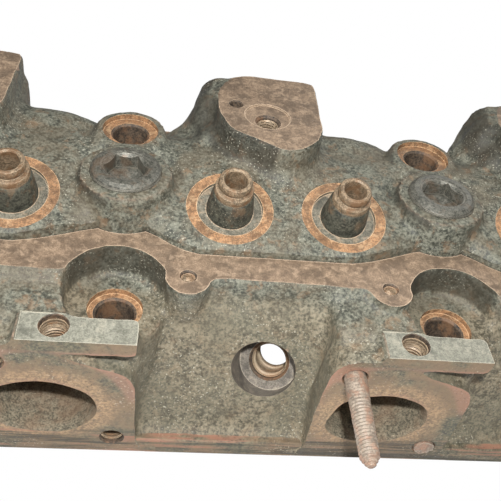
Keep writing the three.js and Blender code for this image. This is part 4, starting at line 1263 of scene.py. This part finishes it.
class StageSettings(bpy.types.PropertyGroup):
    backdrop: FloatVectorProperty(
        name="Backdrop", description="Colour of the floor and the background", subtype="COLOR",
        size=4, default=(1.0, 1.0, 1.0, 1.0), min=0.0, max=1.0)
    key_power: FloatProperty(
        name="Key light", description="Power of the small lamp over the camera", default=1.4,
        min=0.0, unit="POWER")
    fill: FloatProperty(
        name="Fill", description="Strength of the even light from all round", default=0.22, min=0.0)


# ---- operators ---------------------------------------------------------------------------------

class OBJECT_OT_head_casting(bpy.types.Operator):
    """Build the iron casting: cast body, milled faces, ports, bores and valve bosses"""
    bl_idname = "object.head_casting"
    bl_label = "Head Casting"

    def execute(self, context):
        made = finishes()
        materials = [made[name] for name in CASTING_SLOTS]
        casting = rough_casting(materials, context.scene.head_casting)
        claim(machine(casting, materials), "cast_iron", "head_casting")
        return {"FINISHED"}


class OBJECT_OT_valve_gear(bpy.types.Operator):
    """Build the valve guides and the valve seat rings"""
    bl_idname = "object.head_valve_gear"
    bl_label = "Valve Guides and Seats"

    def execute(self, context):
        made = finishes()
        top, bore, radius = GUIDE_TOP, GUIDE_BORE, GUIDE_RADIUS
        collar = GUIDE_BOSS_HEIGHT + 0.1
        profile = [
            (bore, top - GUIDE_LENGTH), (radius - 1, top - GUIDE_LENGTH),
            (radius, top - GUIDE_LENGTH + 2),
            (radius, collar), (radius + 0.25, collar), (radius + 0.5, collar + 0.35),
            (radius + 0.5, collar + 2.0), (radius + 0.2, collar + 2.5), (radius - 1.2, collar + 2.9),
            (radius - 1.3, collar + 3.5), (radius - 0.7, collar + 3.9), (radius - 0.5, collar + 4.3),
            (radius - 0.5, top - 0.9), (radius - 0.9, top - 0.2), (radius - 1.3, top), (bore + 0.6, top),
            (bore + 0.1, top - 0.5), (bore, top - 1.0), (bore, top - GUIDE_LENGTH)]
        places = [row_point(*along_valve(x, 0)) for x, _ in valve_x()]
        part = turned_part("guide_master", profile)
        guides = repeat("valve_guides", part, places, made["guide"])
        names = [f"{kind}_valve_guide_{i}" for i in (1, 2, 3) for kind in ("intake", "exhaust")]
        claim(guides, "guide_iron", *names)
        for side, kind in ((-1, "intake"), (1, "exhaust")):
            throat = THROATS[side]
            outer = throat + SEAT_WALL
            profile = [(throat, SEAT_HEIGHT), (throat, 3.1), (throat + 0.5, 2.5), (throat + 2.4, 0.6),
                       (throat + 3.0, 0.15), (outer - 0.3, 0), (outer, 0.3), (outer, SEAT_HEIGHT),
                       (throat, SEAT_HEIGHT)]
            places = [row_point(*along_valve(x, -ROOF_DEPTH)) for x, s in valve_x() if s == side]
            part = turned_part(f"{kind}_seat_master", profile, 96)
            seats = repeat(f"{kind}_valve_seats", part, places, made["seat"])
            claim(seats, "seat_steel", *[f"{kind}_valve_seat_{i}" for i in (1, 2, 3)])
        return {"FINISHED"}


class OBJECT_OT_head_plugs(bpy.types.Operator):
    """Build the screwed hexagon plugs, the pressed cup plugs and the square pipe plug"""
    bl_idname = "object.head_plugs"
    bl_label = "Water Jacket Plugs"

    def execute(self, context):
        made = finishes()
        for i, x in enumerate(PLUG_X, 1):
            claim(hex_plug(f"hex_plug_{i}", x, made["plug"]), "plug_steel", f"hex_jacket_plug_{i}")
        for sign, name in ((-1, "front"), (1, "rear")):
            bm = bmesh.new()
            profile = [(0, 0), (15, 0), (15.7, 0.3), (16, 1), (16, 7.2), (15.7, 7.6), (14.7, 7.6),
                       (14.4, 7.2), (14.2, 2.6), (13.6, 1.9), (12.8, 1.7), (0, 1.5)]
            start = Vector((sign * (HALF_LENGTH - CUP_DEPTH), *CUP_PLACE))
            add_turned(bm, profile, start, X_AXIS * sign, 64)
            cup = to_object(f"{name}_cup", bm, [made["cup"]], 1e-4)
            claim(smooth(cup), "cup_steel", f"{name}_cup_plug")
        body = Tools([made["plug"]])
        y, z = PIPE_PLUG_PLACE
        start = Vector((HALF_LENGTH - PIPE_PLUG_DEPTH, y, z))
        body.add(add_turned, [(0, 0), (8, 0), (9, 1), (9, 12.2), (8.2, 13), (0, 13)], start, X_AXIS, 48)
        cutters = Tools([made["plug"]])
        cutters.add(add_box, (HALF_LENGTH - 9, y - 4, z - 4), (HALF_LENGTH + 6, y + 4, z + 4))
        plug = cut(body.objects[0], cutters.objects)
        plug.name = "square_pipe_plug"
        claim(smooth(plug), "plug_steel", "pipe_plug")
        return {"FINISHED"}


class OBJECT_OT_exhaust_studs(bpy.types.Operator):
    """Build the worn exhaust stud and the stump of the broken one"""
    bl_idname = "object.head_exhaust_studs"
    bl_label = "Exhaust Studs"

    def execute(self, context):
        made = finishes()
        settings = context.scene.head_threads
        claim(worn_stud(settings, made["stud"]), "stud_steel", "exhaust_stud")
        claim(broken_stud(made["stud"]), "stud_steel", "broken_exhaust_stud")
        return {"FINISHED"}


class OBJECT_OT_tapped_threads(bpy.types.Operator):
    """Wind the threads of the tapped holes"""
    bl_idname = "object.head_tapped_threads"
    bl_label = "Tapped Threads"

    def execute(self, context):
        made = finishes()
        tree = thread_tree()
        across, deep = STAND_BOLT
        stands = [row_point(c + across, deep, STAND_TOP_Z - 22.5) for c in CYLINDER_X]
        ledges = [row_point(c + BOSS_OFFSET, FACE_TOP_Y + LEDGE_BORE_INSET, LEDGE_Z - 21.5)
                  for c in CYLINDER_X]
        screws = [row_point(x, y, z - 11.5)
                  for y, z in ((COVER_SCREW_Y, RAIL_Z), (REAR_SCREW_Y, REAR_RAIL_Z))
                  for x in COVER_SCREW_X]
        sparks = [row_point(*(SPARK_SEAT + X_AXIS * c + SPARK_AXIS * 1.5)) for c in CYLINDER_X]
        upper, lower = ([row_point(*(stud_root(c, stud) - FACE_NORMAL * inside))
                         for c in (CYLINDER_X[0], CYLINDER_X[-1])]
                        for stud, inside in ((UPPER_STUD, 20), (LOWER_STUD, 7.5)))
        jobs = [
            ("stand_threads", stands, 4.1, 1.25, 20.5, Z_AXIS, 0.5),
            ("ledge_threads", ledges, 4.8, 1.5, 20.0, Z_AXIS, 0.62),
            ("cover_screw_threads", screws, 2.4, 0.8, 10.6, Z_AXIS, 0.34),
            ("spark_plug_threads", sparks, 6.8, 1.25, 18.0, SPARK_AXIS, 0.5),
            ("upper_stud_threads", upper, 3.95, 1.25, 18.8, FACE_NORMAL, 0.5),
            ("lower_stud_threads", lower, 3.95, 1.25, 6.2, FACE_NORMAL, 0.5)]
        for name, points, radius, pitch, depth, axis, crest in jobs:
            values = {"Radius": radius * MM, "Turns": depth / pitch, "Depth": depth * MM,
                      "Crest": crest * MM, "Axis": tuple(axis)}
            claim(smooth(grow(name, tree, points, values, made["thread"])), "cast_iron")
        return {"FINISHED"}


class OBJECT_OT_head_stage(bpy.types.Operator):
    """Set up the pale floor, the soft lights and the camera"""
    bl_idname = "object.head_stage"
    bl_label = "Stage"

    def execute(self, context):
        settings = context.scene.head_stage
        build_floor(settings)
        build_lights(context.scene, settings)
        build_camera(context.scene)
        return {"FINISHED"}


def hex_plug(name, x, material):
    """Screwed plug: ringed head with a raised rim, a dished face and a hexagon socket."""
    base = PLUG_TOP_Z - 20
    radius = PLUG_RADIUS
    body = Tools([material])
    body.add(add_turned, [
        (0, 0), (radius - 2.8, 0), (radius - 1.8, 1), (radius - 1.8, 12), (radius - 0.3, 12),
        (radius, 12.4), (radius, 15.3), (radius - 0.5, 15.6), (radius, 15.9), (radius, 16.5),
        (radius - 0.5, 16.8), (radius, 17.1), (radius, 17.7), (radius - 0.5, 18.0), (radius, 18.3),
        (radius - 0.35, 19.0), (radius - 1.6, 19.9), (radius - 2.2, 20), (radius - 3.6, 20),
        (radius - 4.1, 19.7), (0, 19.7)], Vector((x, PLUG_Y, base)), Z_AXIS, 96)
    tools = Tools([material])
    corner = SOCKET_WIDTH / math.sqrt(3)
    hexagon = [(0, -6), (corner, -6), (corner, 4), (0, 4)]
    dish = [(0, -1.6), (6.9, -1.6), (8.9, 0.4), (8.9, 3), (0, 3)]
    drill_point = [(0, -8.5), (0.6, -8.5), (6.2, -5.9), (0, -5.9)]
    for profile, sides in ((hexagon, 6), (dish, 64), (drill_point, 48)):
        tools.add(add_turned, profile, Vector((x, PLUG_Y, PLUG_TOP_Z)), Z_AXIS, sides)
    plug = cut(body.objects[0], tools.objects)
    plug.name = name
    return smooth(plug, 24)


def lofted_stud(name, loops, material):
    bm = bmesh.new()
    add_loft(bm, loops)
    return smooth(to_object(name, bm, [material]), 50)


def worn_stud(settings, material):
    """Stud whose thread is rusted away near its root and sound towards its chamfered end."""
    origin = stud_root(CYLINDER_X[1], UPPER_STUD)
    pitch = settings.stud_pitch / MM
    depth = settings.stud_depth / MM
    sides, step = 40, pitch / 7
    rows = int((STUD_STANDING + STUD_ROOT) / step)
    across, up = frame_of(FACE_NORMAL)
    loops = []
    for i in range(rows + 1):
        height = -STUD_ROOT + i * step
        wear = 0.12 + 0.6 * min(1.0, max(0.0, (height - 6) / 12))
        waist = 0.25 * math.exp(-((height - 3) / 4.5) ** 2) - 0.35 * min(1, max(0, (height - 8) / 20))
        tip = max(0.0, height - STUD_STANDING + 3.2)
        loop = []
        for k in range(sides):
            a = 2 * math.pi * k / sides
            phase = 2 * math.pi * height / pitch - a
            groove = depth * wear * (0.5 - 0.5 * math.cos(phase))
            direction = across * math.cos(a) + up * math.sin(a)
            lump = 0.16 * noise.noise(Vector((direction.x * 2, direction.z * 2, height * 0.45)))
            radius = STUD_RADIUS - 0.3 + waist - groove + lump - 0.62 * tip
            loop.append(origin + FACE_NORMAL * height + direction * radius)
        loops.append(loop)
    return lofted_stud("worn_stud", loops, material)


def broken_stud(material):
    """Stump snapped off just proud of the flange, with a torn end."""
    origin = stud_root(CYLINDER_X[1], LOWER_STUD)
    across, up = frame_of(FACE_NORMAL)
    sides, rings = 40, 9
    loops = [[origin - FACE_NORMAL * 8.5 + (across * math.cos(a) + up * math.sin(a)) * STUMP_RADIUS
              for a in (2 * math.pi * k / sides for k in range(sides))]]
    for i in range(rings):
        radius = STUMP_RADIUS * (1 - i / rings)
        loop = []
        for k in range(sides):
            a = 2 * math.pi * k / sides
            direction = across * math.cos(a) + up * math.sin(a)
            torn = 0.75 * noise.noise(Vector((direction.x, direction.z, 0)) * radius * 0.7)
            loop.append(origin + direction * radius + FACE_NORMAL * (0.5 + torn))
        loops.append(loop)
    return lofted_stud("broken_stud", loops, material)


def split_rays(net, lit, seen, output):
    """Sends one shader to the camera's rays and another to all the rest."""
    direct = net.node("ShaderNodeLightPath").outputs["Is Camera Ray"]
    mixed = net.node("ShaderNodeMixShader", {0: direct, 1: lit.outputs[0], 2: seen.outputs[0]})
    net.put(mixed.outputs[0], net.node(output).inputs["Surface"])


def build_floor(settings):
    bm = bmesh.new()
    bmesh.ops.create_grid(bm, x_segments=8, y_segments=8, size=3.0)
    mesh = bpy.data.meshes.new("pale_floor")
    bm.to_mesh(mesh)
    bm.free()
    floor = linked("pale_floor", mesh)
    floor.location.z = -0.0002
    material = bpy.data.materials.new("pale_floor")
    material.use_nodes = True
    net = Net(material.node_tree)
    net.tree.nodes.clear()
    diffuse = net.node("ShaderNodeBsdfDiffuse", {"Color": (0.8, 0.8, 0.8, 1.0)})
    glow = net.node("ShaderNodeEmission", {"Color": tuple(settings.backdrop), "Strength": 1.0})
    split_rays(net, diffuse, glow, "ShaderNodeOutputMaterial")
    mesh.materials.append(material)


def aim(obj, place, target):
    obj.location = place
    obj.rotation_euler = (target - place).to_track_quat("-Z", "Y").to_euler()


def build_lights(scene, settings):
    world = bpy.data.worlds.new("studio")
    world.use_nodes = True
    net = Net(world.node_tree)
    net.tree.nodes.clear()
    even = net.node("ShaderNodeBackground", {
        "Color": (1.0, 0.985, 0.96, 1.0), "Strength": settings.fill})
    seen = net.node("ShaderNodeBackground", {"Color": tuple(settings.backdrop), "Strength": 1.0})
    split_rays(net, even, seen, "ShaderNodeOutputWorld")
    scene.world = world
    target = row_point(10, -30, 50)
    lamps = [("key_lamp", row_point(-38, -222, 292), 0.014, settings.key_power),
             ("soft_box", row_point(-420, -260, 620), 0.7, 3.0),
             ("rear_soft_box", row_point(500, 420, 560), 0.8, 2.4)]
    for name, place, size, power in lamps:
        light = bpy.data.lights.new(name, "AREA")
        light.size = size
        light.energy = power
        aim(linked(name, light), place, target)


def build_camera(scene):
    yaw, pitch, roll = (math.radians(a) for a in (11.14, 41.26, 11.43))
    forward = Vector((math.sin(yaw) * math.cos(pitch), math.cos(yaw) * math.cos(pitch),
                      -math.sin(pitch)))
    right = Vector((math.cos(yaw), -math.sin(yaw), 0))
    up = right.cross(forward)
    side = right * math.cos(roll) + up * math.sin(roll)
    top = up * math.cos(roll) - right * math.sin(roll)
    data = bpy.data.cameras.new("view")
    data.lens = 52.05
    data.sensor_width = 36.0
    data.shift_y = 0.005
    data.clip_start = 0.01
    camera = linked("view", data)
    turn = Matrix((side, top, -forward)).transposed().to_4x4()
    camera.matrix_world = Matrix.Translation(row_point(-51.5, -226.6, 241.8)) @ turn
    scene.camera = camera
    scene.view_settings.view_transform = "Standard"


# ---- panel and registration --------------------------------------------------------------------

BUILDERS = (OBJECT_OT_head_casting, OBJECT_OT_valve_gear, OBJECT_OT_head_plugs, OBJECT_OT_exhaust_studs,
            OBJECT_OT_tapped_threads, OBJECT_OT_head_stage)


class VIEW3D_PT_cylinder_head(bpy.types.Panel):
    """Lists the settings and the builders of the cylinder head"""
    bl_idname = "VIEW3D_PT_cylinder_head"
    bl_label = "Cylinder Head"
    bl_space_type = "VIEW_3D"
    bl_region_type = "UI"
    bl_category = "Cylinder Head"

    def draw(self, context):
        layout = self.layout
        for name in SETTINGS:
            group = getattr(context.scene, name)
            for key in group.bl_rna.properties.keys():
                if key not in {"rna_type", "name"}:
                    layout.prop(group, key)
        for builder in BUILDERS:
            layout.operator(builder.bl_idname)


SETTINGS = {"head_casting": CastingSettings, "head_threads": ThreadSettings, "head_stage": StageSettings}
CLASSES = (*SETTINGS.values(), *BUILDERS, VIEW3D_PT_cylinder_head)


def register():
    for cls in CLASSES:
        bpy.utils.register_class(cls)
    for name, group in SETTINGS.items():
        setattr(bpy.types.Scene, name, PointerProperty(type=group))


def unregister():
    for name in SETTINGS:
        delattr(bpy.types.Scene, name)
    for cls in reversed(CLASSES):
        bpy.utils.unregister_class(cls)


def main():
    register()
    bpy.ops.object.head_casting()
    bpy.ops.object.head_valve_gear()
    bpy.ops.object.head_plugs()
    bpy.ops.object.head_exhaust_studs()
    bpy.ops.object.head_tapped_threads()
    bpy.ops.object.head_stage()
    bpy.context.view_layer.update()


if __name__ == "__main__":
    main()
